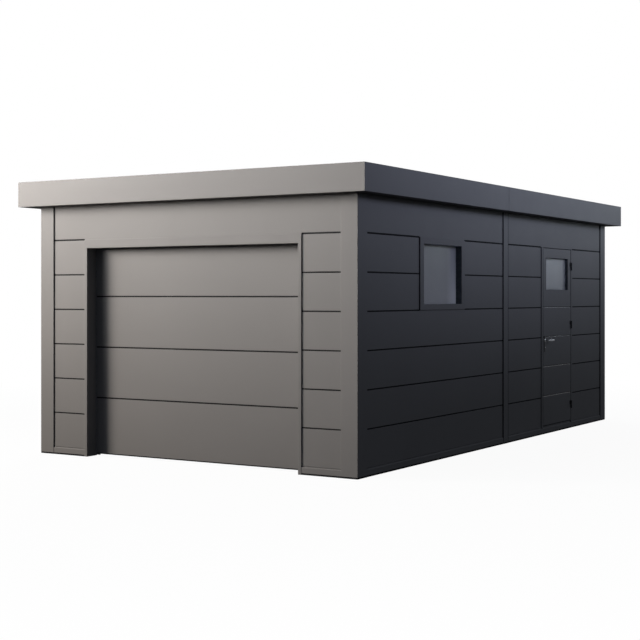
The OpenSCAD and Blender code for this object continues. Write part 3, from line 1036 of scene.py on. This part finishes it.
windowSpec = {
    "fold": 0.003,
    "linerThick": 0.0015,
    "linerFront": 0.004,
    "linerEase": 0.0005,
    "linerGap": 0.0001,
    "sideRim": 0.071,
    "endRim": 0.051,
    "seat": 0.0003,
    "paneEase": 0.001,
    "innerLip": 0.015,
    "beadGap": 0.0002,
    "beadEase": 0.0005,
    "innerEase": (0.001, 0.004),
}


def makeWindow(spec):
    low, high = surround
    hole = (low[0] + spec["sideRim"], low[2] + spec["endRim"],
            high[0] - spec["sideRim"], high[2] - spec["endRim"])
    bm = bmesh.new()
    frameBetween(bm, "right", hole, rect(low, high), low[1], high[1], spec["fold"])
    dressed("window_surround", bm, framePaint, "frame_steel")

    # the lining of the reveal, from the fold to the glass: dark rubber at the sides, partly a real
    # gasket and partly painted shade, and under the head a pale coat that is painted light against
    # the shade there
    thick, gap, ease, seat = (spec[part] for part in ("linerThick", "linerGap", "linerEase", "seat"))
    back = high[1] - 2 * gap
    bm = bmesh.new()
    for edge, way in ((hole[0] + gap, 1), (hole[2] - gap, -1)):
        bar(bm, upWall("right"), (edge, low[1] + spec["linerFront"]), (edge + way * thick, back),
            hole[1] + seat, hole[3] - seat, ease, 2)
    makePiece("windowGasket", bm, linerRubber, slot="door_rubber")
    bm = bmesh.new()
    bar(bm, alongWall("right"), (low[1] + spec["fold"], hole[3] - gap),
        (back, hole[3] - gap - thick), hole[0] + thick + seat, hole[2] - thick - seat, ease, 2)
    makePiece("windowHeadLining", bm, paleCoat, slot="frame_steel")

    low, high = wallBox("right", "window_glass")
    bm = bmesh.new()
    softBox(bm, "right", low, high, spec["paneEase"])
    makePiece("windowPane", bm, frostedPane, nodes=["window_glass"], slot="window_glass")
    pane = rect(low, high, seat)
    paneBack = high[1] + seat

    low, high = wallBox("right", "window_frame")
    lip, gap = spec["innerLip"], spec["beadGap"]
    bm = bmesh.new()
    frameBetween(bm, "right", pane, rect(low, high), low[1] + gap, paneBack, spec["beadEase"], gap)
    frameBetween(bm, "right", (hole[0] + lip, hole[1] + lip, hole[2] - lip, hole[3] - lip),
                 rect(low, high), paneBack, high[1], *spec["innerEase"])
    makePiece("windowInnerFrame", bm, framePaint, nodes=["window_frame"], slot="frame_steel")


makeWindow(windowSpec)
print("window made")


# side door: jambs, stops and sill on the wall; leaf, pane and seals on their own body

doorFrameSpec = {
    "lockGap": 0.007,
    "hingeGap": 0.006,
    "jambEase": 0.0025,
    "rebate": (0.007, 0.010),
    "rebateFace": 0.002,
    "rebateInset": 0.0002,
    "stopLap": 0.010,
    "stopEase": 0.0015,
    "fit": 0.0003,
    "sillGap": 0.010,
    "sillEase": (0.0015, 0.0025),
    "sealThick": 0.0045,
    "sealHalf": 0.004,
    "sealEase": 0.0018,
    "rebateSealEase": 0.0008,
}


def doorFrame():
    spec = doorFrameSpec
    jambLow, jambHigh = wallBox("right", "side_door_jambs")
    leafLow, leafHigh = wallBox("right", "side_door_leaf")
    stopLow, stopHigh = wallBox("right", "side_door_stops")
    lockEdge, hingeEdge = leafLow[0] - spec["lockGap"], leafHigh[0] + spec["hingeGap"]
    thick = jambHigh[1]
    wide, deep = spec["rebate"]
    bm = bmesh.new()
    # the hinge jamb has a rebate next to the leaf
    for outline in (boxOutline((jambLow[0], 0), (lockEdge, thick)),
                    [(hingeEdge + wide, 0), (jambHigh[0], 0), (jambHigh[0], thick),
                     (hingeEdge, thick), (hingeEdge, deep), (hingeEdge + wide, deep)]):
        carry(bm, rounded(outline, spec["jambEase"]), upWall("right"), jambLow[2], jambHigh[2])
    dressed("side_door_jambs", bm, framePaint, "frame_steel")

    # stops behind the leaf's edges, with a soft seal just short of the closed leaf
    front, back, lap, fit = stopLow[1], stopHigh[1], spec["stopLap"], spec["fit"]
    sides = [(lockEdge, leafLow[0] + lap), (leafHigh[0] - lap, hingeEdge)]
    headLow = leafHigh[2] - lap
    stops, seals = bmesh.new(), bmesh.new()
    for start, end in sides:
        bar(stops, upWall("right"), (start, front), (end, back), stopLow[2], stopHigh[2],
            spec["stopEase"])
        middle = (start + end) / 2
        bar(seals, upWall("right"), (middle - spec["sealHalf"], front - spec["sealThick"]),
            (middle + spec["sealHalf"], front), leafLow[2], headLow, spec["sealEase"], 5)
    bar(stops, alongWall("right"), (front, headLow), (back, stopHigh[2]),
        sides[0][1] + fit, sides[1][0] - fit, spec["stopEase"])
    dressed("side_door_stops", stops, framePaint, "frame_steel")

    # a folded sill on the base rail, under the leaf
    bm = bmesh.new()
    sillTop, (backEase, frontEase) = leafLow[2] - spec["sillGap"], spec["sillEase"]
    carry(bm, rounded([(panelSpec["front"], baseTop, 0), (front - fit, baseTop, 0),
                       (front - fit, sillTop, backEase),
                       (panelSpec["front"], sillTop, frontEase)], 0, 3),
          alongWall("right"), lockEdge + fit, hingeEdge - fit)
    makePiece("sideDoorSill", bm, framePaint, slot="frame_steel")

    inset = spec["rebateInset"]
    bar(seals, upWall("right"), (hingeEdge + inset, spec["rebateFace"]),
        (hingeEdge + wide - inset, deep - inset), jambLow[2] + inset, jambHigh[2] - inset,
        spec["rebateSealEase"], 2)
    makePiece("sideDoorSeal", seals, blackRubber, slot="door_rubber")


leafSpec = {
    "grooves": 4,
    "firstGroove": 0.397,
    "groovePitch": 0.310,
    "lip": 0.0015,
    "edgeEase": 0.002,
    "inlayFace": 0.0035,
    "upperInlay": 0.65,
    "stripFace": 0.005,
    "grooveInset": 0.0002,
    "stripEase": 0.0005,
    "windowFold": 0.003,
    "seat": 0.0003,
    "paneEase": 0.0008,
    "beadRim": 0.015,
    "beadEase": (0.0008, 0.003),
    "linerThick": 0.0015,
    "linerFront": 0.007,
    "linerEase": 0.0005,
    "skirtInset": 0.012,
    "skirtFront": 0.018,
    "skirtBack": 0.026,
    "skirtDrop": 0.0085,
    "skirtEase": 0.003,
}


def doorLeaf():
    # rows of folded sheet up to the highest groove, and a frame round the pane above it
    spec = leafSpec
    low, high = wallBox("right", "side_door_leaf")
    pane = wallBox("right", "side_door_glass")
    half, depth = panelSpec["grooveHalf"], panelSpec["grooveDepth"]
    thick, ease, inset, lip = high[1], spec["edgeEase"], spec["grooveInset"], spec["lip"]
    lines = [spec["firstGroove"] + spec["groovePitch"] * i for i in range(spec["grooves"])]
    bm = bmesh.new()
    bottom = low[2]
    for line in lines:
        points = [(thick, bottom, ease)]
        if line == lines[0]:
            points += [(0, bottom, ease)]
        else:
            points += [(depth, bottom, 0), (depth, bottom + half, fineEase),
                       (0, bottom + half, lip)]
        points += [(0, line - half, lip), (depth, line - half, fineEase), (depth, line, 0),
                   (thick, line, 0)]
        carry(bm, rounded(points, 0), alongWall("right"), low[0], high[0])
        bottom = line
    hole = rect(*pane, spec["seat"])
    frameBetween(bm, "right", hole, (low[0], bottom + half, high[0], high[2]), 0, thick,
                 spec["windowFold"])
    carry(bm, boxOutline((depth, bottom), (thick, bottom + half)), alongWall("right"),
          low[0], high[0])
    dressed("side_door_leaf", bm, sideDoorPaint, "side_door_steel", "side_door")

    # each groove holds a satin inlay in its lower half and a black strip in its upper half
    pair = len(lines) // 2
    for name, drop, rise, face, material, slot in (
            ("sideDoorInlays", half - inset, 0, spec["inlayFace"], inlaySteel, "lever_steel"),
            ("sideDoorGrooveStrips", 0, half - inset, spec["stripFace"], blackRubber,
             "door_rubber")):
        bm = bmesh.new()
        for line, share in ((lines[0], 1), (lines[pair], spec["upperInlay"])):
            bottom, top = line - drop * share, line + rise
            strip = bmesh.new()
            carry(strip, rounded([(depth, bottom, 0), (face, bottom, spec["stripEase"]),
                                  (face, top, spec["stripEase"]), (depth, top, 0)], 0),
                  alongWall("right"), low[0] + inset, high[0] - inset)
            repeatLine(bm, strip, pair, (0, 0, spec["groovePitch"]), material)
        makePiece(name, bm, material, "side_door", slot=slot)

    # a skirt under the leaf, and the dark lining of its window, partly a real gasket and partly
    # painted shade in the reveal
    bm = bmesh.new()
    softBox(bm, "right", (low[0] + spec["skirtInset"], spec["skirtFront"],
                          low[2] - spec["skirtDrop"]),
            (high[0] - spec["skirtInset"], spec["skirtBack"], low[2]), spec["skirtEase"])
    frameBetween(bm, "right", rect(*pane, spec["seat"] - spec["linerThick"]), hole,
                 spec["linerFront"], pane[0][1] - inset, spec["linerEase"])
    makePiece("sideDoorGaskets", bm, linerRubber, "side_door", slot="door_rubber")

    bm = bmesh.new()
    softBox(bm, "right", *pane, spec["paneEase"])
    makePiece("sideDoorPane", bm, leafPane, "side_door", ["side_door_glass"], "window_glass")

    low, high = wallBox("right", "side_door_glass_beads")
    bm = bmesh.new()
    frameBetween(bm, "right", rect(low, high, -spec["beadRim"]), rect(low, high),
                 low[1], high[1], *spec["beadEase"])
    makePiece("sideDoorBeads", bm, framePaint, "side_door", ["side_door_glass_beads"],
              "frame_steel")


doorFrame()
doorLeaf()
print("side door made")


# hinges of the side door

hingeSpec = {
    "apart": 0.2,
    "pinAlong": 0.003,
    "pinOut": 0.010,
    "knuckle": (0.042, 0.008),
    "knuckleEase": 0.0015,
    "pin": (0.004, 0.005, 0.0005),
    "pinSunk": 0.002,
    "plate": (0.030, 0.003),
    "plateEase": 0.003,
    "screwRadius": 0.0042,
    "screwHead": [(0, 1), (0.0006, 1), (0.0012, 0.8), (0.0014, 0.5), (0.0004, 0.42), (0.0003, 0.1)],
    "screwSpread": 0.012,
    "screwInset": 0.019,
}


def screwHead(spec):
    # a raised head with a socket, its axis along +X, as (height, share of the radius)
    bm = bmesh.new()
    turned(bm, (0, 0, 0), (1, 0, 0), [(height, spec["screwRadius"] * share)
                                      for height, share in spec["screwHead"]], 12)
    return bm


def hingeParts(node, side, name, body):
    # three knuckles with their plates, at the heights of the node's own solids
    spec = hingeSpec
    heights = sorted({round(v.co.z, 4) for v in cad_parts[node].data.vertices})
    starts = [z for before, z in zip([-1, *heights], heights) if z - before > spec["apart"]]
    pinAlong = wallBox("right", "side_door_leaf")[1][0] + spec["pinAlong"]
    (tall, radius), (width, thick), spread = spec["knuckle"], spec["plate"], spec["screwSpread"]
    bm, screws = bmesh.new(), bmesh.new()
    for start in starts:
        turned(bm, onWall("right", pinAlong, -spec["pinOut"], start), (0, 0, 1),
               knob(tall, radius, spec["knuckleEase"]))
        if side > 0:
            # the pin, as far as it reaches into the upper knuckle
            turned(bm, onWall("right", pinAlong, -spec["pinOut"], start + tall - spec["pinSunk"]),
                   (0, 0, 1), knob(*spec["pin"]), 20)
        edges = sorted((pinAlong, pinAlong + side * width))
        bar(bm, throughWall("right"), (edges[0], start), (edges[1], start + tall), -thick, 0,
            spec["plateEase"])
        first = onWall("right", pinAlong + side * spec["screwInset"], -thick,
                       start + tall / 2 - spread)
        repeatLine(screws, screwHead(spec), 2, (0, 0, 2 * spread), blackPaint, first)
    makePiece(name, bm, blackPaint, body, [node], "hinge_black")
    makePiece(name + "Screws", screws, blackPaint, body, slot="hinge_black")


hingeParts("hinge_frame_halves", 1, "hingesOnFrame", "garage")
hingeParts("hinge_door_halves", -1, "hingesOnDoor", "side_door")


# lock and lever of the side door: sections are (width, height, ease)

lockSpec = {
    "plateCorner": 0.008,
    "plateEdge": 0.0038,
    "plateThick": 0.005,
    "plateTaper": (0.06, 0.012),
    "cylinderDrop": 0.075,
    "partsFace": 0.0045,
    "cylinder": [(0, 0.008), (0.0036, 0.008), (0.0044, 0.0072), (0.0044, 0.0035),
                 (0.0040, 0.0033), (0.0040, 0.0005)],
    "collar": [(0, 0.016), (0.0024, 0.016), (0.004, 0.01376), (0.004, 0.0083),
               (0.0005, 0.0082)],
    "keyway": (0.0008, 0.003),
    "keywayDepth": (0.0084, 0.0091),
    "keywayEase": 0.0003,
    "leverFace": 0.004,
    "leverReach": 0.055,
    "leverBend": 0.016,
    "bendSteps": 6,
    "leverGrip": 0.120,
    "footSection": (0.016, 0.016, 0.0078),
    "neckSection": (0.015, 0.016, 0.0072),
    "gripSection": (0.010, 0.018, 0.0045),
    "gripStart": 0.08,
    "tip": ((0.005, (0.0098, 0.018, 0.0045)), (0.0015, (0.0078, 0.016, 0.0035)),
            (0, (0.0045, 0.012, 0.0020))),
    "forend": ((-0.0012, 0.011, -0.14), (0.0005, 0.033, 0.07), 0.0005),
    "latch": ((-0.0045, 0.016, -0.008), (0, 0.028, 0.008), 0.0015),
    "strike": ((-0.0074, 0.009, -0.11), (-0.0058, 0.036, 0.06), 0.0005),
}


def leverHandle(bm, spindle, face, out):
    # neck, bend and grip on one face of the leaf; out is -1 outside and 1 inside
    spec = lockSpec
    bend, reach, grip = spec["leverBend"], spec["leverReach"], spec["leverGrip"]
    neck, full = spec["neckSection"], spec["gripSection"]
    stations = [(0, 0, 0, spec["footSection"]), (0, reach - bend, 0, neck)]
    steps = spec["bendSteps"]
    angles = quarterSteps(steps)
    for k, angle in enumerate(angles[1:], 1):
        section = [a + (b - a) * k / steps for a, b in zip(neck, full)]
        stations.append((bend - bend * math.cos(angle), reach - bend + bend * math.sin(angle),
                         angle, section))
    stations += [(spec["gripStart"], reach, angles[-1], full)]
    stations += [(grip - short, reach, angles[-1], section) for short, section in spec["tip"]]
    rings = []
    for along, outward, angle, (width, height, ease) in stations:
        where = onWall("right", spindle[0] + along, face + out * outward, spindle[1])
        across = wayOf("right", math.cos(angle), -out * math.sin(angle)).normalized()
        corner = (width / 2, height / 2)
        outline = rounded(boxOutline((-corner[0], -corner[1]), corner), ease)
        rings.append([where + across * p.x + Vector((0, 0, p.y)) for p in outline])
    loft(bm, rings)


def lockParts():
    spec = lockSpec
    low, high = wallBox("right", "side_door_lock_plates")
    leaf = wallBox("right", "side_door_leaf")
    leverLow, leverHigh = wallBox("right", "side_door_lever")
    middle = (low[0] + high[0]) / 2
    spindle = (middle, (leverLow[2] + leverHigh[2]) / 2)
    cylinderUp = spindle[1] - spec["cylinderDrop"]
    centreUp = spindle[1] - spec["cylinderDrop"] / 2
    taper, (keyHalf, keyHigh) = spec["plateTaper"], spec["keyway"]
    outline = rounded(boxOutline((low[0], low[2]), (high[0], high[2])), spec["plateCorner"], 6)
    inset = [Vector((p.x + (middle - p.x) * taper[0], p.y + (centreUp - p.y) * taper[1]))
             for p in outline]
    plates, cylinders, collars, levers = (bmesh.new() for part in range(4))
    faces = ((0, -1), (leaf[1][1], 1))
    for face, out in faces:
        loft(plates, [[onWall("right", p.x, face + out * depth, p.y) for p in ring]
                      for ring, depth in ((outline, 0), (outline, spec["plateEdge"]),
                                          (inset, spec["plateThick"]))])
        partsFace = face + out * spec["partsFace"]
        turned(cylinders, onWall("right", middle, partsFace, cylinderUp), wayOf("right", 0, out),
               spec["cylinder"], 24)
        turned(collars, onWall("right", middle, partsFace, spindle[1]), wayOf("right", 0, out),
               spec["collar"])
        leverHandle(levers, spindle, face + out * spec["leverFace"], out)
    for face, out in faces:
        key = sorted(face + out * depth for depth in spec["keywayDepth"])
        softBox(cylinders, "right", (middle - keyHalf, key[0], cylinderUp - keyHigh),
                (middle + keyHalf, key[1], cylinderUp + keyHigh), spec["keywayEase"])
    dressed("side_door_lock_plates", plates, plateBlack, "lock_plate_black", "side_door")
    makePiece("sideDoorKeyCylinder", cylinders, satinSteel, "side_door", slot="lever_steel")
    makePiece("sideDoorLeverCollars", collars, leverSteel, "side_door", slot="lever_steel")
    dressed("side_door_lever", levers, leverSteel, "lever_steel", "door_lever")

    # latch and its plate on the lock edge, and the strike on the jamb, placed from the spindle
    for name, body, parts in (("sideDoorLatch", "side_door", ("forend", "latch")),
                              ("sideDoorStrike", "garage", ("strike",))):
        bm = bmesh.new()
        for part in parts:
            *corners, ease = spec[part]
            softBox(bm, "right", *[(leaf[0][0] + along, inward, spindle[1] + up)
                                   for along, inward, up in corners], ease)
        makePiece(name, bm, screwSteel, body, slot="lever_steel")


lockParts()
print("door hardware made")


# roof: folded fascia, soffits, beams and ribbed sheet

roofSpec = {
    "fasciaFold": 0.003,
    "topFold": 0.002,
    "mitreGap": 0.0002,
    "soffitEase": 0.0015,
    "boardGap": 0.001,
    "boards": {"front": 4, "back": 4, "left": 6, "right": 6},
    "beamSheet": 0.003,
    "beamLip": 0.015,
    "beamFold": 0.004,
    "sheet": 0.0012,
    "panAbove": 0.008,
    "ribHeight": 0.035,
    "ribPitch": 0.207,
    "ribFoot": 0.070,
    "ribTop": 0.040,
    "ribFold": 0.004,
    "ribs": 18,
    "fall": 0.060,
    "endGap": 0.001,
    "sideGap": 0.0001,
    "weld": 1e-5,
    "beadDepth": 0.002,
    "beadTop": 0.012,
    "beadFloor": 0.006,
    "beadFold": 0.003,
    "screwRows": 7,
    "screwMargin": 0.025,
    "washerTop": 0.0018,
    "washer": [(0, 0.008), (0.0014, 0.008), (0.0018, 0.0072), (0.0018, 0.0052)],
    "screwHead": [(0, 0.0055), (0.0045, 0.0055), (0.0055, 0.004), (0.0055, 0.001)],
    "laps": 3,
    "lapEvery": 5,
    "lapRise": 0.0012,
    "lapGap": 0.0002,
    "lapWidth": 0.012,
    "lapOver": 0.001,
    "lapUnder": 0.0005,
    "lapFolds": (0.003, 0.004),
}


def fascia():
    spec = roofSpec
    low, high = wallBox("front", "fascia_front")
    outline = rounded([(low[1], low[2], spec["fasciaFold"]), (low[1], high[2], spec["fasciaFold"]),
                       (high[1], high[2], spec["topFold"]), (high[1], low[2], spec["topFold"])], 0)
    # the long sides are in two lengths, as their solids are
    ends = sorted({round(v.co.y - postLow.y, 4)
                   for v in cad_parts["fascia_right"].data.vertices})
    for wall in walls:
        side = wall in ("left", "right")
        length = wallLength if side else wallWidth
        bm = bmesh.new()
        for start, end in ([(None, ends[1]), (ends[-2], None)] if side else [(None, None)]):
            loft(bm, [[onWall(wall, cut or edge + way * (p[0] + spec["mitreGap"]), p[0], p[1])
                       for p in outline] for cut, way, edge in ((start, 1, 0), (end, -1, length))])
        dressed("fascia_" + wall, bm, roofEdgePaint, "roof_edge_steel")


def soffits():
    spec = roofSpec
    for wall, count in spec["boards"].items():
        low, high = wallBox(wall, "soffit_" + wall)
        length = (high[0] - low[0]) / count
        bm, board = bmesh.new(), bmesh.new()
        bar(board, alongWall(wall), low[1:], high[1:], low[0], low[0] + length - spec["boardGap"],
            spec["soffitEase"])
        repeatLine(bm, board, count, wayOf(wall, length), soffitPaint)
        dressed("soffit_" + wall, bm, soffitPaint, "roof_edge_steel")


def beams():
    # cold formed channels from side to side, each as high as the sheet above it
    spec = roofSpec
    places = [v.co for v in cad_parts["roof_beams"].data.vertices]
    tops = {}
    for p in places:
        y = round(p.y, 4)
        tops[y] = max(tops.get(y, 0), p.z)
    bottom = min(p.z for p in places)
    edges = sorted(tops)
    ends = sorted({round(p.x, 4) for p in places})
    s, lip, fold = spec["beamSheet"], spec["beamLip"], spec["beamFold"]
    bm = bmesh.new()
    for near, far in zip(edges[::2], edges[1::2]):
        top = min(tops[near], tops[far])
        outline = rounded([
            (near, bottom, fold), (far, bottom, fold), (far, bottom + lip, 0),
            (far - s, bottom + lip, 0), (far - s, bottom + s, fineEase),
            (near + s, bottom + s, fineEase), (near + s, top - s, fineEase),
            (far - s, top - s, fineEase), (far - s, top - lip, 0),
            (far, top - lip, 0), (far, top, fold), (near, top, fold)], 0, 3)
        carry(bm, outline, lambda a, b, t: Vector((t, a, b)), ends[0], ends[-1])
    dressed("roof_beams", bm, beamZinc, "roof_beam_steel")


deckLow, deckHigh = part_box("roof_deck")
deckLength = deckHigh.y - deckLow.y
slope = math.atan(roofSpec["fall"] / deckLength)
sheetEnd = (deckLength - 1.5 * roofSpec["endGap"]) / math.cos(slope)
crown = roofSpec["panAbove"] + roofSpec["ribHeight"]
firstRib = -(roofSpec["ribs"] - 1) / 2 * roofSpec["ribPitch"]


def onDeck(x, height, distance):
    # height square to the slope, distance up it from the back edge
    return Vector((x, deckHigh.y - distance * math.cos(slope) + height * math.sin(slope),
                   deckLow.z + distance * math.sin(slope) + height * math.cos(slope)))


def roofSheet():
    # one rib and its pan, repeated across, welded, and trimmed to the deck's width
    spec = roofSpec
    pan, bead, fold = spec["panAbove"], spec["beadDepth"], spec["beadFold"]
    half, foot = spec["ribPitch"] / 2, spec["ribFoot"] / 2
    wide, narrow, middle = spec["beadTop"], spec["beadFloor"], (half + foot) / 2
    corners = [(-half, pan, 0), (-middle - wide, pan, fold), (-middle - narrow, pan - bead, fold),
               (-middle + narrow, pan - bead, fold), (-middle + wide, pan, fold),
               (-foot, pan, spec["ribFold"]), (-spec["ribTop"] / 2, crown, spec["ribFold"])]
    top = rounded(corners + [(-x, h, r) for x, h, r in reversed(corners)], 0, 3)
    under = []
    for i, p in enumerate(top):
        way = (top[min(i + 1, len(top) - 1)] - top[max(i - 1, 0)]).normalized()
        under.append(p + Vector((way.y, -way.x)) * spec["sheet"])
    unit = bmesh.new()
    ends = [[[unit.verts.new(onDeck(p.x, p.y, distance)) for p in line] for line in (top, under)]
            for distance in (spec["endGap"], sheetEnd)]
    for i in range(len(top) - 1):
        for near, far in zip(*ends):
            unit.faces.new((near[i], near[i + 1], far[i + 1], far[i]))
        for upper, lower in ends:
            unit.faces.new((upper[i], upper[i + 1], lower[i + 1], lower[i]))
    bm = bmesh.new()
    repeatLine(bm, unit, spec["ribs"], (spec["ribPitch"], 0, 0), roofCoat, (firstRib, 0, 0))
    bmesh.ops.remove_doubles(bm, verts=bm.verts, dist=spec["weld"])
    for edge, way in ((deckLow.x, -1), (deckHigh.x, 1)):
        bmesh.ops.bisect_plane(bm, geom=bm.verts[:] + bm.edges[:] + bm.faces[:],
                               plane_co=(edge - way * spec["sideGap"], 0, 0), plane_no=(way, 0, 0),
                               clear_outer=True)
    bmesh.ops.holes_fill(bm, edges=[e for e in bm.edges if e.is_boundary], sides=0)
    makePiece("roofSheet", bm, roofCoat, nodes=["roof_deck"], slot="roof_sheet")


def roofScrews():
    # screws with sealing washers on every other rib, over the beams
    spec = roofSpec
    low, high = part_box("roof_beams")
    screw = bmesh.new()
    turned(screw, (0, 0, 0), (0, 0, 1), spec["washer"], 12)
    turned(screw, (0, 0, spec["washerTop"]), (0, 0, 1), spec["screwHead"], 6)
    middle = onDeck(-spec["ribPitch"] / 2, crown,
                    (deckHigh.y - (low.y + high.y) / 2) / math.cos(slope))
    bm = bmesh.new()
    runTree(bm, gridOfItems, screw, {
        "Columns": spec["ribs"] // 2, "Rows": spec["screwRows"],
        "Width": spec["ribPitch"] * (spec["ribs"] - 2),
        "Length": (high.y - low.y - 2 * spec["screwMargin"]) / math.cos(slope),
        "Middle": middle, "Slope": -slope, "Finish": screwSteel})
    makePiece("roofScrews", bm, screwSteel, slot="roof_sheet")


def sheetLaps():
    # the edge of one sheet over the next
    spec = roofSpec
    pan, rise, gap = spec["panAbove"], spec["lapRise"], spec["lapGap"]
    top, foot, reach = spec["ribTop"] / 2, spec["ribFoot"] / 2, spec["lapWidth"]
    over, under, (fold, ridge) = spec["lapOver"], spec["lapUnder"], spec["lapFolds"]
    outline = rounded([(-top - over, crown + rise, fold), (top + over, crown + rise, ridge),
                       (foot + over, pan + rise, fold), (foot + reach, pan + rise, 0),
                       (foot + reach, pan + gap, 0), (foot - under, pan + gap, 0),
                       (top - under, crown + gap, 0), (-top - over, crown + gap, 0)], 0, 3)
    bm, lap = bmesh.new(), bmesh.new()
    carry(lap, outline, onDeck, 1.5 * spec["endGap"], sheetEnd - spec["endGap"])
    start = firstRib + (spec["lapEvery"] - 1) * spec["ribPitch"]
    repeatLine(bm, lap, spec["laps"], (spec["lapEvery"] * spec["ribPitch"], 0, 0), roofCoat,
               (start, 0, 0))
    makePiece("roofSheetLaps", bm, roofCoat, slot="roof_sheet")


fascia()
soffits()
beams()
roofSheet()
roofScrews()
sheetLaps()
print("roof made")


# floor, world and lamps

stageSpec = {
    "white": (1, 1, 1),
    "floorSize": 60,
    "floorColour": (0.8, 0.8, 0.8),
    "floorShade": 0.05,
    "shadeNear": 2.5,
    "shadeFar": 9.0,
    "floorDark": (0.03, 0.03, 0.03),
    "ambient": (0.142, 0.158, 0.195),
    "mirrored": 0.10,
}


def mixShader(tree, factor, first, second):
    return addNode(tree, "ShaderNodeMixShader", {"Fac": factor, 1: first, 2: second})


def seenDirectly(tree, mirrored):
    # 1 for what the camera sees and what glass lets through, less for what gloss mirrors
    rays = addNode(tree, "ShaderNodeLightPath").outputs
    gloss = mathNode(tree, "MULTIPLY", rays["Is Glossy Ray"], mirrored)
    through = mathNode(tree, "MAXIMUM", rays["Is Transmission Ray"], gloss)
    return mathNode(tree, "MAXIMUM", rays["Is Camera Ray"], through)


def makeWorld(spec):
    world = bpy.data.worlds.new("studio")
    bpy.context.scene.world = world
    world.use_nodes = True
    tree = world.node_tree
    tree.nodes.clear()
    dim, white = (addNode(tree, "ShaderNodeBackground", {"Color": spec[part]}).outputs["Background"]
                  for part in ("ambient", "white"))
    mix = mixShader(tree, seenDirectly(tree, spec["mirrored"]), dim, white)
    addNode(tree, "ShaderNodeOutputWorld", {"Surface": mix.outputs["Shader"]})


def makeFloor(spec):
    bm = bmesh.new()
    bmesh.ops.create_grid(bm, x_segments=1, y_segments=1, size=spec["floorSize"] / 2)
    mesh = asMesh(bm, "studioFloor")
    floor = bpy.data.objects.new("studioFloor", mesh)
    bpy.context.scene.collection.objects.link(floor)
    material, tree, shader = newMaterial("studioFloor")
    fill(tree, shader, {"Base Color": spec["floorColour"], "Roughness": 0.9,
                        "Specular IOR Level": 0})
    dark = addNode(tree, "ShaderNodeBsdfDiffuse", {"Color": spec["floorDark"]})
    glow = addNode(tree, "ShaderNodeEmission", {"Color": spec["white"]})
    # the shade round the building, gone a few metres away
    away = addNode(tree, "ShaderNodeVectorMath", {0: objectCoordinates(tree)}, operation="LENGTH")
    shade = spread(tree, away.outputs["Value"], spec["floorShade"], 0, spec["shadeNear"],
                   spec["shadeFar"])
    pale = mixShader(tree, shade, glow.outputs["Emission"], shader.outputs["BSDF"])
    mix = mixShader(tree, seenDirectly(tree, spec["mirrored"]), dark.outputs["BSDF"],
                    pale.outputs["Shader"])
    fill(tree, tree.nodes["Material Output"], {"Surface": mix.outputs["Shader"]})
    mesh.materials.append(material)


# soft boxes with grids: a wide warm pair on the near left, a long cool one and a small one over
# the right wall, and a plain one behind for the two walls at the back
lampSpec = {
    "keyLamp": {
        "place": (-6.53, -7.15, 4.63),
        "aim": (-0.18, -2.92, 5.98),
        "size": (6.85, 4.26),
        "spread": 80.7,
        "watts": 984,
        "colour": (1, 0.993, 0.997),
    },
    "lowKeyLamp": {
        "place": (-6.11, -6.59, 3.30),
        "aim": (-0.78, -2.92, 2.58),
        "size": (2.11, 2.53),
        "spread": 127.6,
        "watts": 377,
        "colour": (1, 0.922, 0.844),
    },
    "coolLamp": {
        "place": (6.42, 0.40, 3.92),
        "aim": (1.685, 0.40, 7.05),
        "size": (7.18, 2.18),
        "spread": 137.2,
        "watts": 260,
        "colour": (0.640, 0.711, 1),
    },
    "rearCoolLamp": {
        "place": (4.63, 7.07, 3.96),
        "aim": (1.685, 4.69, 4.89),
        "size": (2.83, 3.56),
        "spread": 94.8,
        "watts": 67,
        "colour": (0.848, 0.955, 1),
    },
    "backLamp": {
        "place": (-7.2, 8.4, 4.8),
        "aim": (-1.2, 2.4, 2.6),
        "size": (5.0, 3.2),
        "spread": 120,
        "watts": 420,
        "colour": (1, 0.98, 0.96),
    },
}


def makeLamps():
    for name, spec in lampSpec.items():
        data = bpy.data.lights.new(name, "AREA")
        data.shape = "RECTANGLE"
        data.size, data.size_y = spec["size"]
        data.spread = math.radians(spec["spread"])
        data.energy = spec["watts"]
        data.color = spec["colour"]
        lamp = bpy.data.objects.new(name, data)
        lamp.location = spec["place"]
        toAim = Vector(spec["aim"]) - Vector(spec["place"])
        lamp.rotation_euler = toAim.to_track_quat("-Z", "Y").to_euler()
        bpy.context.scene.collection.objects.link(lamp)


makeWorld(stageSpec)
makeFloor(stageSpec)
makeLamps()
bpy.context.scene.view_settings.view_transform = "Standard"
print("stage made")
